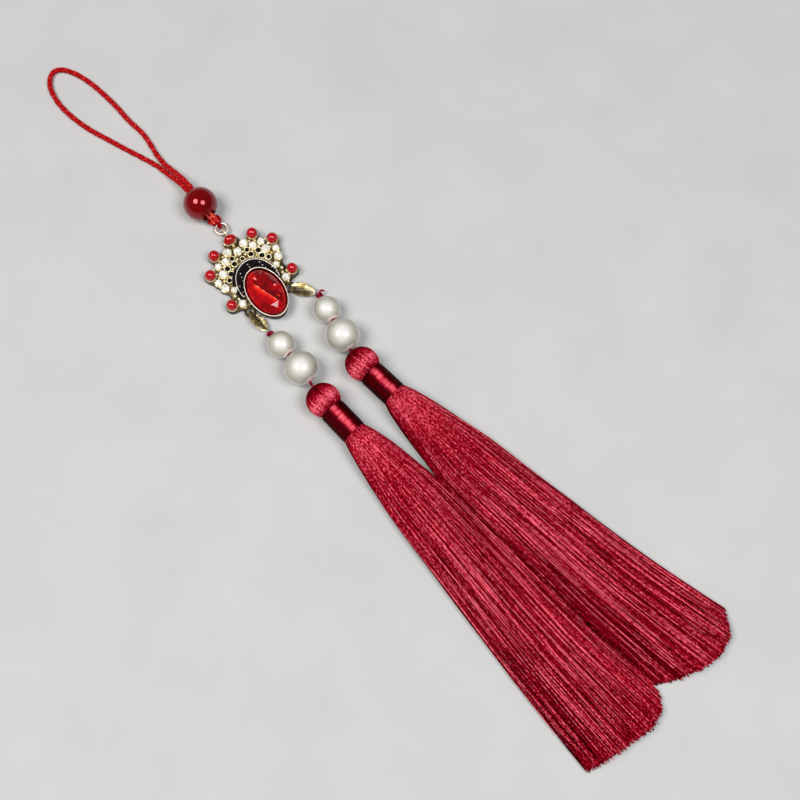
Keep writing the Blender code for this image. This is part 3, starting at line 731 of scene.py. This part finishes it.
# Columns: across, along, radius of the grains of gold in the gaps
GRAINS = (
    (0.0, 18.2, 0.50),
    (1.45, 14.05, 0.46),
    (1.25, 15.2, 0.36),
    (4.1, 14.1, 0.42),
    (4.1, 12.05, 0.40),
    (6.5, 12.9, 0.36),
    (6.1, 10.25, 0.34),
    (3.8, 17.9, 0.42),
    (4.6, 17.0, 0.40),
    (6.1, 16.2, 0.46),
    (6.1, 14.1, 0.36),
    (8.9, 15.0, 0.44),
    (8.9, 13.3, 0.42),
    (8.9, 12.0, 0.40),
    (8.2, 10.2, 0.50),
    (10.2, 9.3, 0.40),
    (8.0, 8.0, 0.36),
    (8.1, 4.6, 0.55),
    (7.6, 3.2, 0.50),
    (8.9, 3.0, 0.42),
    (8.8, 1.6, 0.42),
    (7.4, -0.1, 0.40),
)
BEADED_HALF, BEADED_COUNT, BEADED_SIZE = (7.10, 8.35), 36, 0.25
# Columns: radius, height, as shares of the stone's or stud's own size
COLLAR_SIDE = ((0.86, 0.0), (0.86, 0.72), (0.95, 0.80), (1.08, 0.74), (1.16, 0.40), (1.22, 0.0))
CUP_SIDE = ((0.80, 0.0), (0.80, 0.20), (0.92, 0.32), (1.02, 0.26), (1.05, 0.10), (1.00, 0.0))
# Columns: corners in the ring, share of the stone's width, height, share of a corner that it is turned by
SMALL_CUT = (
    (8, 0.62, 0.0, 0.0),
    (12, 0.96, 0.42, 0.0),
    (12, 1.0, 0.52, 0.0),
    (6, 0.80, 0.82, 0.5),
    (6, 0.56, 0.98, 0.0),
)
DARK_CUT = ((6, 0.6, 0.0, 0.0), (8, 1.0, 0.35, 0.0), (6, 0.55, 0.80, 0.0))
OVAL_CUT = (
    (16, 0.84, 2.1, 0.0),
    (32, 0.985, 3.25, 0.0),
    (32, 1.0, 3.50, 0.0),
    (16, 0.92, 4.10, 0.5),
    (8, 0.78, 4.80, 0.0),
    (8, 0.64, 5.45, 0.5),
)
OVAL_FIT = 1.035
# Columns: place from the crescent's outer edge to its inner one, size of the dark stones, how many
DARK_ROWS = ((0.24, 0.46, 21), (0.55, 0.50, 19), (0.84, 0.42, 17))


def with_twins(rows):
    """Every row with its name: the first once, and the others left and right."""
    for i, (name, across, *rest) in enumerate(rows):
        for word, side in (("", 1),) if i == 0 else (("_left", -1), ("_right", 1)):
            yield (name + word, across * side, *rest)


def both_sides(rows):
    return [row[1:] for row in with_twins([("", *row) for row in rows])]


def node_names(kind, rows):
    return [f"{kind}_{row[0]}" for row in with_twins(rows)]


def reach(angle, middle, half):
    """How far a ray from the stone's middle goes to leave an ellipse, or 0 where it misses it."""
    dx, dy = math.cos(angle) / half[0], math.sin(angle) / half[1]
    mx, my = middle[0] / half[0], middle[1] / half[1]
    a, b, c = dx * dx + dy * dy, dx * mx + dy * my, mx * mx + my * my - 1
    inside = b * b - a * c
    return (b + math.sqrt(inside)) / a if inside > 0 else 0.0


def plate_edge(count=220):
    """The scalloped edge: the furthest reach of all that the plate carries."""
    lobes = [((0.0, 0.0), PLATE_BASE), ((0.0, CROWN_MIDDLE), CROWN_HALF), ((0.0, EYE_ROOT), EYE_ROOT_HALF)]
    for _, across, along, *half in (*with_twins(STUDS), *with_twins(STONES)):
        lobes.append(((across, along), (half[0] + PLATE_MARGIN, half[-1] + PLATE_MARGIN)))
    found = []
    for i in range(count):
        angle = 2 * math.pi * i / count
        far = max(reach(angle, middle, half) for middle, half in lobes)
        if math.sin(angle) < -0.05:
            far = reach(angle, *lobes[0])
        found.append((far * math.cos(angle), far * math.sin(angle)))
    return found


def opening(across, along, half):
    """A diamond with its sides a little full."""
    corners = []
    for k in range(8):
        angle, out = math.radians(45 * k), half * (OPENING_FULLNESS if k % 2 else 1.0)
        corners.append((across + out * math.cos(angle), along + out * math.sin(angle)))
    return corners


def eased(spot):
    """Draws a point of the plate's rim back by its soft edge: in at the outside, out at an opening."""
    for across, along, half in both_sides(OPENWORK):
        away = Vector((spot.x - across, spot.y - along, 0.0))
        if away.length < half + 0.01:
            return spot + away * (PLATE_SOFT / half)
    return spot - Vector((spot.x, spot.y, 0.0)).normalized() * PLATE_SOFT


def pierced_sheet():
    """The plate's flat face with its openings."""
    outline = bpy.data.curves.new("plate outline", "CURVE")
    outline.dimensions = "2D"
    outline.fill_mode = "BOTH"
    for loop in (plate_edge(), *(opening(*row) for row in both_sides(OPENWORK))):
        line = outline.splines.new("POLY")
        line.points.add(len(loop) - 1)
        for point, (x, y) in zip(line.points, loop):
            point.co = (x, y, 0.0, 1.0)
        line.use_cyclic_u = True
    holder = bpy.data.objects.new("plate outline", outline)
    sheet = bpy.data.meshes.new_from_object(holder)
    bpy.data.objects.remove(holder)
    return sheet


def add_plate():
    """The pierced plate with rounded edges, and its eyes."""
    plate = bmesh.new()
    plate.from_mesh(pierced_sheet())
    bmesh.ops.remove_doubles(plate, verts=plate.verts, dist=0.001)
    faces = list(plate.faces)
    bottom = list(plate.verts)
    for level in (PLATE_SOFT, PLATE_T - PLATE_SOFT, PLATE_T):
        lifted = bmesh.ops.extrude_face_region(plate, geom=faces, use_keep_orig=level == PLATE_SOFT)
        faces = [part for part in lifted["geom"] if isinstance(part, bmesh.types.BMFace)]
        top = new_verts(lifted)
        for vert in top:
            vert.co.z = level
    for vert in (*bottom, *top):
        vert.co = eased(vert.co)
    bmesh.ops.recalc_face_normals(plate, faces=plate.faces)
    shape = bmesh.new()
    put(shape, mesh_from(plate), on_medallion())
    eye = mesh_from(torus(RING_WIRE + 0.3 + EYE_WIRE, EYE_WIRE, 28, 10))
    upright = Matrix.Rotation(math.radians(90), 4, "Y")
    put(shape, eye, on_medallion(0.0, RING_UP - RING_RADIUS, RING_Z) @ upright)
    lug = mesh_from(torus(LUG_RADIUS, LUG_WIRE, 36, 10))
    for side in (-1, 1):
        put(shape, lug, on_medallion(side * LUG_AT[0], LUG_AT[1], LUG_Z))
    show("pierced plate", settled(shape), "plate", ["medallion_plate"])


def tiny_ball(subdivisions):
    ball = bmesh.new()
    bmesh.ops.create_icosphere(ball, subdivisions=subdivisions, radius=1.0)
    return mesh_from(ball)


def add_goldwork():
    """What is raised on the plate: wire rims, collars and claws round the stones, and grains."""
    shape = bmesh.new()
    rim = mesh_from(torus(1.0, 0.20, 20, 8))
    for across, along, half in both_sides(OPENWORK):
        set_on(shape, rim, across, along, PLATE_T + 0.12, (half * 1.12, half * 1.12, half * 1.2))
    ball = tiny_ball(2)
    for across, along, size in both_sides(GRAINS):
        set_on(shape, ball, across, along, PLATE_T + 0.15, (size, size, size))
    for a in np.radians(np.linspace(12, 168, BEADED_COUNT)):
        across, along = BEADED_HALF[0] * math.cos(a), CRESCENT_MIDDLE + BEADED_HALF[1] * math.sin(a)
        set_on(shape, ball, across, along, PLATE_T + 0.25, (BEADED_SIZE, BEADED_SIZE, BEADED_SIZE))
    collar = mesh_from(spun(COLLAR_SIDE, 28, closed=True))
    for _, across, along, radius in with_twins(STONES):
        set_on(shape, collar, across, along, PLATE_T - 0.1, (radius * 0.92, radius * 0.92, radius * 0.8))
        for k in range(4):
            angle = math.radians(45 + 90 * k + 17 * across)
            claw = (across + 0.98 * radius * math.cos(angle), along + 0.98 * radius * math.sin(angle))
            set_on(shape, ball, *claw, SEAT + 0.52 * radius, (0.24, 0.24, 0.34))
    cup = mesh_from(spun(CUP_SIDE, 32, closed=True))
    for _, across, along, width, length in with_twins(STUDS):
        set_on(shape, cup, across, along, PLATE_T, (width, length, 1.6))
    show("raised goldwork", settled(shape), "gold")


def add_studs():
    """Round red studs, each a low dome."""
    dome = mesh_from(spun([*arc((0.0, 0.30), 0.98, 0, 105, 14), (0.86, 0.0), (0.0, 0.0)], 32))
    shape = bmesh.new()
    for _, across, along, width, length in with_twins(STUDS):
        set_on(shape, dome, across, along, SEAT + 0.1, (0.98 * width, 0.98 * length, 1.85))
    show("red studs", settled(shape), "stud", node_names("stud", STUDS))


def cut_stone(rings):
    """A faceted stone: the hull round rings of corners."""
    shape = bmesh.new()
    for count, share, height, turn in rings:
        for k in range(count):
            angle = 2 * math.pi * (k + turn) / count
            shape.verts.new((share * math.cos(angle), share * math.sin(angle), height))
    bmesh.ops.convex_hull(shape, input=shape.verts)
    bmesh.ops.dissolve_limit(shape, angle_limit=math.radians(1.0), verts=shape.verts, edges=shape.edges)
    bmesh.ops.recalc_face_normals(shape, faces=shape.faces)
    return shape


def add_small_stones():
    cut = mesh_from(cut_stone(SMALL_CUT))
    shape = bmesh.new()
    for k, (_, across, along, radius) in enumerate(with_twins(STONES)):
        set_on(shape, cut, across, along, SEAT, (radius, radius, radius * 1.05), 0.7 * k)
    names = node_names("stone", STONES)
    show("small cut stones", settled(shape), "crystal", names, smooth=False)


def add_oval_stone():
    oval = on_medallion() @ Matrix.Diagonal((GEM_HALF[0] * OVAL_FIT, GEM_HALF[1] * OVAL_FIT, 1.0, 1.0))
    mesh = settled(cut_stone(OVAL_CUT), oval)
    show("oval cut stone", mesh, "gem", ["oval_stone"], smooth=False)


def add_bezel():
    """The rim that holds the oval stone: a thin wall, rolled over at the top."""
    half = BEZEL_OUTER[0]
    inside = [(half - 1.15, 2.1), (half - 0.55, 3.3), (half - 0.42, 3.95)]
    roll = arc((half - 0.24, 4.10), 0.17, -75, 85, 6)
    shape = spun([*inside, *roll, (half - 0.12, 3.75), (half - 0.90, 2.1)], 96, closed=True)
    for vert in shape.verts:
        away = math.hypot(vert.co.x, vert.co.y)
        vert.co.y *= (away - half + BEZEL_OUTER[1]) / away
    show("rolled rim", settled(shape, on_medallion()), "brim", ["stone_bezel"])


def outer_edge(a):
    """A place on the crescent's outer edge, at an angle from the right."""
    return Vector((CRESCENT_HALF[0] * math.cos(a), CRESCENT_MIDDLE + CRESCENT_HALF[1] * math.sin(a)))


def inner_edge(a):
    return Vector(((BEZEL_OUTER[0] + 0.3) * math.cos(a), (BEZEL_OUTER[1] + 0.3) * math.sin(a)))


def crescent_floor(outer):
    """The crescent's dark floor, a little wider than its edge wire."""
    inner = [inner_edge(a) for a in np.radians(np.linspace(0, 180, 61))]
    inner = [p for p in inner if p.y > CRESCENT_FROM]
    brim = [Vector((p.x * 1.055, CRESCENT_MIDDLE + (p.y - CRESCENT_MIDDLE) * 1.055)) for p in outer]
    floor = bmesh.new()
    corners = [floor.verts.new((*p, SEAT)) for p in (*brim, *reversed(inner))]
    face = floor.faces.new(corners)
    geom = [face, *face.edges, *face.verts]
    lifted = bmesh.ops.extrude_face_region(floor, geom=geom, use_keep_orig=True)
    bmesh.ops.translate(floor, vec=(0, 0, 0.45), verts=new_verts(lifted))
    bmesh.ops.recalc_face_normals(floor, faces=floor.faces)
    return floor


def add_crescent():
    """The dark crescent: rows of small dark stones, bright grains between them, and its edge wire."""
    outer = [outer_edge(a) for a in np.radians(np.linspace(-20, 200, 61))]
    outer = [p for p in outer if p.y > CRESCENT_FROM]
    floor = crescent_floor(outer)
    dark, bright = mesh_from(cut_stone(DARK_CUT)), tiny_ball(1)
    grains = bmesh.new()
    for share, size, count in DARK_ROWS:
        for k in range(count):
            a = math.radians(6 + 168 * (k + 0.5) / count)
            out, into = outer_edge(a), inner_edge(a)
            into.y = max(into.y, CRESCENT_FROM)
            wide = (out - into).length
            if wide < 0.7 or (wide < 1.6 and share != 0.55):
                continue
            spot, fits = out.lerp(into, share), min(size, wide * 0.30)
            set_on(floor, dark, *spot, SEAT + 0.40, (fits, fits, 0.50), 0.9 * k)
            if (k * 7 + int(share * 10)) % 4 == 0:
                side = out.lerp(into, min(share + 0.17, 0.95))
                set_on(grains, bright, side.x + 0.2, side.y, SEAT + 0.62, (0.27, 0.27, 0.27))
    # Black discs under the openings in the plate: painted shadow where they would show the floor
    disc = bmesh.new()
    bmesh.ops.create_cone(disc, cap_ends=True, segments=12, radius1=1.0, radius2=1.0, depth=0.1)
    disc = mesh_from(disc)
    for across, along, half in both_sides(OPENWORK):
        set_on(floor, disc, across, along, HOLE_SHADOW_Z, (half * 1.08, half * 1.08, 1.0))
    stones = settled(floor)
    show("dark crescent stones", stones, "dark", ["dark_crescent"], smooth=False)
    wire = tubes([[on_medallion() @ Vector((*p, SEAT + 0.62)) for p in outer]], 0.17, sides=8)
    both = bmesh.new()
    put(both, settled(grains))
    put(both, wire)
    show("crescent edge wire", mesh_from(both), "rim")


# Clasps and pearls

CLASP_TIPS = {"left": (-7.30, -8.30), "right": (10.75, -9.00)}
# Columns: share of the length, half width of the loop, z of the upper leg, z of the lower leg,
# half width of the sheet
CLASP_LEGS = (
    (-0.03, 0.00, 1.45, 1.45, 0.38),
    (0.02, 0.20, 2.30, 0.60, 0.44),
    (0.10, 0.36, 2.52, 0.46, 0.60),
    (0.26, 0.70, 2.52, 0.46, 0.92),
    (0.42, 0.86, 2.30, 0.76, 1.14),
    (0.62, 0.82, 2.05, 1.00, 1.12),
    (0.84, 0.56, 1.85, 1.25, 0.80),
    (1.00, 0.12, 1.60, 1.45, 0.36),
)
CLASP_TIP_Z = 1.55
SHEET_T = 0.24  # half thickness
PEARL_SMALL, PEARL_BIG, PEARL_MOUTH = 8.0, 10.0, 1.7
PEARLS = {
    "left": ((-7.52, -15.13, 4.0), (-8.08, -24.42, 5.0)),
    "right": ((9.33, -15.98, 4.0), (7.23, -25.07, 5.0)),
}
THREAD_KNOTS = {"left": (-7.30, -10.10, 1.75), "right": (11.05, -10.75, 1.75)}
THREAD_KNOT_HALF = (0.80, 0.62, 0.72)
# Columns: x, y, z of the knot's loose tail from its middle
TAIL = ((0.3, 0.3, 0.2), (0.9, 0.75, 0.55), (1.5, 0.75, 0.30), (2.1, 0.45, -0.35))
TAIL_WAY = {"left": -0.45, "right": 1}


def add_clasp(side, sign):
    """A pinched clasp: two legs of sheet from the medallion's eye, which meet at the tip."""
    top = on_medallion(sign * LUG_AT[0], LUG_AT[1], LUG_Z).translation
    tip = Vector((*CLASP_TIPS[side], CLASP_TIP_Z))
    along = (tip - top) * Vector((1.0, 1.0, 0.0))
    out = along.normalized().cross(Vector((0.0, 0.0, -sign)))
    shares, sheet_widths = [row[0] for row in CLASP_LEGS], [row[4] for row in CLASP_LEGS]
    shape = bmesh.new()
    for way, column in ((1, 2), (-1, 3)):
        middles = [top + along * row[0] + out * way * row[1] for row in CLASP_LEGS]
        route = [(p.x, p.y, row[column]) for p, row in zip(middles, CLASP_LEGS)]
        line = smooth_points(route, 0.28)
        widths = np.interp([(p - top).dot(along) / along.length_squared for p in line], shares, sheet_widths)
        stations = []
        for i, p in enumerate(line):
            ahead = (line[min(i + 1, len(line) - 1)] - line[max(i - 1, 0)]).normalized()
            lean = (out * way + Vector((0.0, 0.0, 0.35))).normalized()
            across = (lean - ahead * lean.dot(ahead)).normalized()
            stations.append((p, across * float(widths[i]), ahead.cross(across) * SHEET_T))
        put(shape, mesh_from(drawn(stations)))
    show("clasp " + side, settled(shape), "leaf", ["clasp_" + side])


def add_pearls(side):
    small, big = (Vector(p) for p in PEARLS[side])
    for word, size, place, axis in (
        ("small", PEARL_SMALL, small, small - big),
        ("big", PEARL_BIG, big, small - Vector(BALLS[side])),
    ):
        name, node = f"{word} pearl {side}", f"pearl_{word}_{side}"
        bored_ball(name, size, PEARL_MOUTH, place, axis, "pearl", node)


def add_pearl_thread(side):
    """Twisted thread with its knot at the clasp's tip, through both pearls into the tassel's ball."""
    small, big = (Vector(p) for p in PEARLS[side])
    knot, ball, ball_axis = Vector(THREAD_KNOTS[side]), Vector(BALLS[side]), neck_axis(side)
    line = (small - big).normalized()
    above = small + line * (PEARL_SMALL / 2 + 0.5)
    between = ((small - line * PEARL_SMALL / 2) + (big + line * PEARL_BIG / 2)) / 2
    low_mouth = big - (small - ball).normalized() * PEARL_BIG / 2
    ball_mouth = ball + ball_axis * BALL / 2
    route = [knot + Vector((0.0, 0.7, -0.1)), knot, knot.lerp(above, 0.75), above, small, between, big]
    route += [(low_mouth + ball_mouth) / 2, ball + ball_axis * BALL / 4]
    tail = [knot + Vector((x * TAIL_WAY[side], y, z)) for x, y, z in TAIL]
    shape = bmesh.new()
    put(shape, tubes(laid(route, 0.22, 1.7, 3, 0.30), 0.23, shades=(0.3, 0.6, 0.8)))
    wraps = laid(overhand(knot, THREAD_KNOT_HALF, 60), 0.16, 1.3, 3, 0.25)
    put(shape, tubes(wraps, 0.19, shades=(0.2, 0.5, 0.8)))
    put(shape, tubes(laid(tail, 0.16, 1.4, 3, 0.20), 0.20, shades=(0.4, 0.6, 0.9)))
    show("pearl thread " + side, mesh_from(shape), "thread", ["pearl_thread_" + side])


# Tassels

BALL, BALL_FLAT = 9.8, 3.35
BALLS = {"left": (-9.83, -35.75, 4.9), "right": (5.55, -35.30, 4.9)}
NECK_RADIUS, NECK_LENGTH = 4.0, 9.2
NECK_ENDS = {"left": (-9.75, -48.60), "right": (6.25, -48.10)}
BALL_THREADS, WINDINGS = 104, 38
SEEDS = {"left": 1, "right": 2}
# Columns: y, left edge, right edge, height of the skirt there
SKIRTS = {
    "left": (
        (-46.0, -12.9, -6.6, 6.4),
        (-48.9, -13.2, -6.3, 6.9),
        (-50.6, -14.2, -5.2, 8.0),
        (-60.0, -16.2, -2.9, 7.6),
        (-75.0, -18.6, -1.15, 6.8),
        (-100.0, -21.3, -0.1, 5.6),
        (-130.0, -24.4, 0.75, 4.7),
        (-162.0, -26.9, 3.15, 3.9),
    ),
    "right": (
        (-45.5, 3.1, 9.4, 6.4),
        (-48.4, 2.8, 9.7, 6.9),
        (-50.1, 1.7, 11.1, 8.0),
        (-60.0, 0.2, 14.2, 7.6),
        (-75.0, -0.75, 17.7, 6.8),
        (-100.0, 0.25, 21.6, 5.6),
        (-130.0, 1.15, 26.8, 4.7),
        (-162.0, 3.65, 34.0, 3.9),
    ),
}
# Columns: share across the skirt from its left edge, y of the cut end there
CUT_ENDS = {
    "left": ((0.0, -157.4), (0.2, -158.9), (0.5, -160.4), (0.7, -161.4), (0.88, -160.2), (1.0, -156.4)),
    "right": ((0.0, -153.8), (0.2, -157.6), (0.45, -160.4), (0.6, -161.0), (0.8, -159.6), (1.0, -153.6)),
}
# Columns: place across from -1 to 1, width, share of the height lost, how much painted shade it gets,
# share of the length where it starts
HOLLOWS = {
    "left": (
        (-1.0, 0.32, 0.15, 0.20, 0.35),
        (-0.58, 0.20, 0.06, 0.14, 0.50),
        (-0.10, 0.14, 0.08, 0.08, 0.55),
    ),
    "right": (
        (-0.93, 0.09, 0.10, 0.36, -0.12),
        (-0.80, 0.30, 0.50, 0.02, 0.42),
        (-0.58, 0.26, 0.04, 0.20, 0.42),
        (-0.05, 0.10, 0.05, 0.06, 0.5),
        (0.35, 0.12, 0.05, 0.06, 0.4),
    ),
}
FLARE = 26.0
UPPER_THREADS, UNDER_THREADS, THREAD_POINTS, THREAD_RADIUS = 1300, 700, 17, 0.125
LAYERS = 7


def neck_axis(side):
    """From the lower end of the neck to the ball, level with the floor."""
    end, ball = NECK_ENDS[side], BALLS[side]
    return Vector((ball[0] - end[0], ball[1] - end[1], 0.0)).normalized()


def soft_step(x):
    x = np.clip(x, 0.0, 1.0)
    return x * x * (3 - 2 * x)


def add_ball(side):
    """Threads drawn side by side over a ball, from the hole for the pearls' thread down to the neck."""
    radius = BALL / 2
    top = math.degrees(math.asin(1.2 / radius))
    bottom = math.degrees(math.acos(-BALL_FLAT / radius))
    cheek = arc((0.0, 0.0), radius, top, bottom, 40)
    shape = spun([(0.0, 3.9), (0.9, 4.3), *cheek, (0.0, -BALL_FLAT)], BALL_THREADS * 4)
    random = np.random.default_rng(10 + SEEDS[side])
    thread_height = random.normal(0.0, 0.05, BALL_THREADS)
    thread_shade = np.clip(random.normal(0.5, 0.22, BALL_THREADS), 0, 1)
    shades = []
    for vert in shape.verts:
        level = vert.co.z / radius
        around = math.atan2(vert.co.y, vert.co.x) / (2 * math.pi) + 0.02 * level
        turn = around % 1.0 * BALL_THREADS
        k = int(turn) % BALL_THREADS
        ridge = math.sqrt(max(0.0, 1 - (2 * (turn % 1.0) - 1) ** 2))
        share = min(1.0, math.hypot(vert.co.x, vert.co.y) / radius * 1.4)
        vert.co += vert.co.normalized() * ((0.20 * ridge - 0.17) + thread_height[k]) * share
        level = vert.co.z / radius
        # Painted light and shade: a highlight band round the ball, painted shadow on its top under the
        # pearl, and painted shade in the grooves between threads
        painted_highlight = math.exp(-(((level + 0.18) / 0.42) ** 2))
        pearl_shadow = float(soft_step((level - 0.35) / 0.35))
        shade = 0.45 - 0.22 * pearl_shadow + 0.60 * painted_highlight + 0.6 * (thread_shade[k] - 0.5)
        shades.append(shade * (0.05 + 0.95 * ridge))
    mesh = shade_by(settled(shape, standing(BALLS[side], neck_axis(side))), shades)
    show("wound ball " + side, mesh, "silk", ["tassel_ball_" + side])


def add_neck(side):
    """Satin thread wound round and round the neck, a winding beside the last."""
    half, outer = NECK_LENGTH / 2, NECK_RADIUS
    pitch = NECK_LENGTH / WINDINGS
    profile = [(outer - 0.8, half)]
    for k in range(WINDINGS):
        middle = half - pitch * (k + 1) + pitch / 2
        sunk = 0.14 + 0.12 * abs(2 * (k + 0.5) / WINDINGS - 1) ** 14
        for j in range(5):
            a = math.pi * (j + 0.5) / 5
            profile.append((outer - sunk + 0.085 * math.sin(a), middle + pitch / 2 * math.cos(a)))
    profile.append((outer - 0.8, -half))
    shape = spun(profile, 56, closed=True)
    random = np.random.default_rng(20 + SEEDS[side])
    winding_shade = random.normal(0.0, 0.07, WINDINGS + 1)
    winding_turn = random.normal(0.0, 0.032, WINDINGS + 1)
    axis = neck_axis(side)
    stand = standing(Vector((*NECK_ENDS[side], NECK_RADIUS)) + axis * half, axis)
    shades = []
    for vert in shape.verts:
        k = int((half - vert.co.z) / pitch)
        away = stand.to_3x3() @ Vector((vert.co.x, vert.co.y, 0.0))
        lean = math.atan2(away.x, away.z) - 0.02 - winding_turn[k]
        # Painted highlight: a bright stripe along the top of the neck, and a faint one on one side
        painted_highlight = math.exp(-((abs(lean) / 0.31) ** 3)) + 0.10 * math.exp(-(((lean + 0.75) / 0.25) ** 2))
        shades.append(0.07 + 0.84 * painted_highlight + winding_shade[k] * (0.3 + painted_highlight))
    mesh = shade_by(settled(shape, stand), shades)
    show("satin neck " + side, mesh, "satin", ["neck_wrap_" + side])


def skirt_edges(side, y):
    """The skirt's left and right edge and its height at a y."""
    rows = np.array([tuple(p) for p in smooth_points([row[:3] for row in SKIRTS[side]], 1.0)])[::-1]
    table = np.array(SKIRTS[side])[::-1]
    left, right = (np.interp(y, rows[:, 0], rows[:, c]) for c in (1, 2))
    if side == "right":
        # Its left edge runs in under the other skirt
        left = left - 1.1 * soft_step((-68.0 - y) / 14.0)
    return left, right, np.interp(y, table[:, 0], table[:, 3])


def skirt_threads(side, count, upper, seed):
    """The middle lines of the skirt's threads, and a shade for every point on them.

    Across (u) and up (v) each thread has its own place in the skirt, which it keeps from the neck
    to the cut end. Most run side by side, and some lie across the others.
    """
    random = np.random.default_rng(seed)
    t = np.linspace(0.0, 1.0, THREAD_POINTS)[None, :] ** 1.12

    def chances(low, high):
        return random.uniform(low, high, count)[:, None]

    def spread(size):
        return random.normal(0.0, size, count)[:, None]

    def ripple(size, slow, fast):
        return size * np.sin(2 * math.pi * (chances(slow, fast) * t + chances(0, 1)))

    layer, rank = np.arange(count)[:, None] % LAYERS, np.arange(count)[:, None] // LAYERS
    u = 2 * (rank + chances(0.0, 1.0)) / (count / LAYERS) - 1
    low, high = (0.78, 1.0) if upper else (0.0, 0.92)
    v = high - (high - low) * (layer + chances(0.0, 1.0)) / LAYERS
    lean = np.where(chances(0, 1) < 0.30, spread(0.13), spread(0.03))

    across = np.clip(u + lean * t * (1 - u * u), -1.0, 1.0)
    ends = np.array(CUT_ENDS[side])
    end_y = np.interp((across[:, -1:] + 1) / 2, ends[:, 0], ends[:, 1]) + np.clip(spread(0.5), -1.6, 0.9)
    start_y = NECK_ENDS[side][1] + 1.6
    y = start_y + (end_y - start_y) * t
    left, right, height = skirt_edges(side, y)
    flat = soft_step((NECK_ENDS[side][1] - y) / FLARE)
    w = 2 * v - 1
    disc_x, disc_z = across * np.sqrt(1 - w * w / 2), w * np.sqrt(1 - across * across / 2)
    x_share = disc_x + (across - disc_x) * flat
    wave = ripple(0.13, 0.8, 2.0) + ripple(0.05, 3, 6)
    x = (left + right) / 2 + (right - left) / 2 * x_share * 0.985 + wave * soft_step(t * 2.5)

    top = height * (1 - 0.62 * np.abs(across) ** 3) * 0.99
    # The hollows lie lower, and get painted shade
    dark = np.zeros_like(top)
    for place, width, loss, darker, begins in HOLLOWS[side]:
        here = np.exp(-(((across - place) / width) ** 2)) * soft_step((t - begins) / 0.35)
        top = top * (1 - loss * here)
        dark = dark + darker * here
    level = np.clip(v + ripple(0.035, 1.0, 2.5), 0.0, 1.0)
    round_z = NECK_RADIUS + height / 2 * disc_z
    z = np.maximum(round_z + (level * np.maximum(top, 1.0) - round_z) * flat, THREAD_RADIUS + 0.01)

    # Single threads with a painted glint lie apart, with darker ones between them, so that no broad stripes
    # form
    chance = (rank * 0.618 + layer * 0.37) % 1.0
    own = np.where(chance > 0.84, 0.50, 0.80 * (chance - 0.48)) + spread(0.06)
    own = own * (0.38 + 0.80 * soft_step(t / 0.55))
    # Lighter just below the neck, and painted shade where the threads run in under it
    near_neck = 0.26 * np.exp(-((t / 0.14) ** 2)) - 0.30 * np.exp(-((t / 0.022) ** 2))
    # Painted shade: threads that lie lower in the skirt are darker, and so are the hollows
    shade = 0.54 + own + ripple(0.07, 0.6, 1.6) + near_neck - dark - 0.9 * (1 - v)
    return np.stack((x, y, z), axis=2), np.clip(shade, 0.0, 1.0)


def add_skirt(side):
    """The skirt's silk threads: the upper ones in one piece, and those below them in another."""
    widths = np.interp(np.linspace(0, 1, THREAD_POINTS), [0.0, 0.08, 0.3, 1.0], [0.75, 0.9, 1.0, 1.0])
    for layer, count, seed in (("upper", UPPER_THREADS, 30), ("under", UNDER_THREADS, 40)):
        lines, shades = skirt_threads(side, count, layer == "upper", seed + SEEDS[side])
        mesh = tubes(lines, THREAD_RADIUS, widths, shades=shades)
        stands_for = ["tassel_skirt_" + side] if layer == "upper" else ()
        show(f"{layer} threads {side}", mesh, "silk", stands_for)


def add_floor():
    plane = bmesh.new()
    bmesh.ops.create_grid(plane, x_segments=2, y_segments=2, size=3.0)
    floor = bpy.data.objects.new("floor", mesh_from(plane))
    floor.data.materials.append(FINISHES["floor"])
    bpy.context.scene.collection.objects.link(floor)


FINISHES = make_finishes()
set_camera()
set_lights()
add_floor()
add_hanging_loop()
bored_ball("red bead", BEAD, BEAD_MOUTH, BEAD_AT, BEAD_AXIS, "bead", "red_bead")
add_knotted_cord()
add_top_ring()
add_plate()
add_goldwork()
add_studs()
add_small_stones()
add_oval_stone()
add_bezel()
add_crescent()
for which, mirror in (("left", -1), ("right", 1)):
    add_clasp(which, mirror)
    add_pearls(which)
    add_pearl_thread(which)
    add_ball(which)
    add_neck(which)
    add_skirt(which)
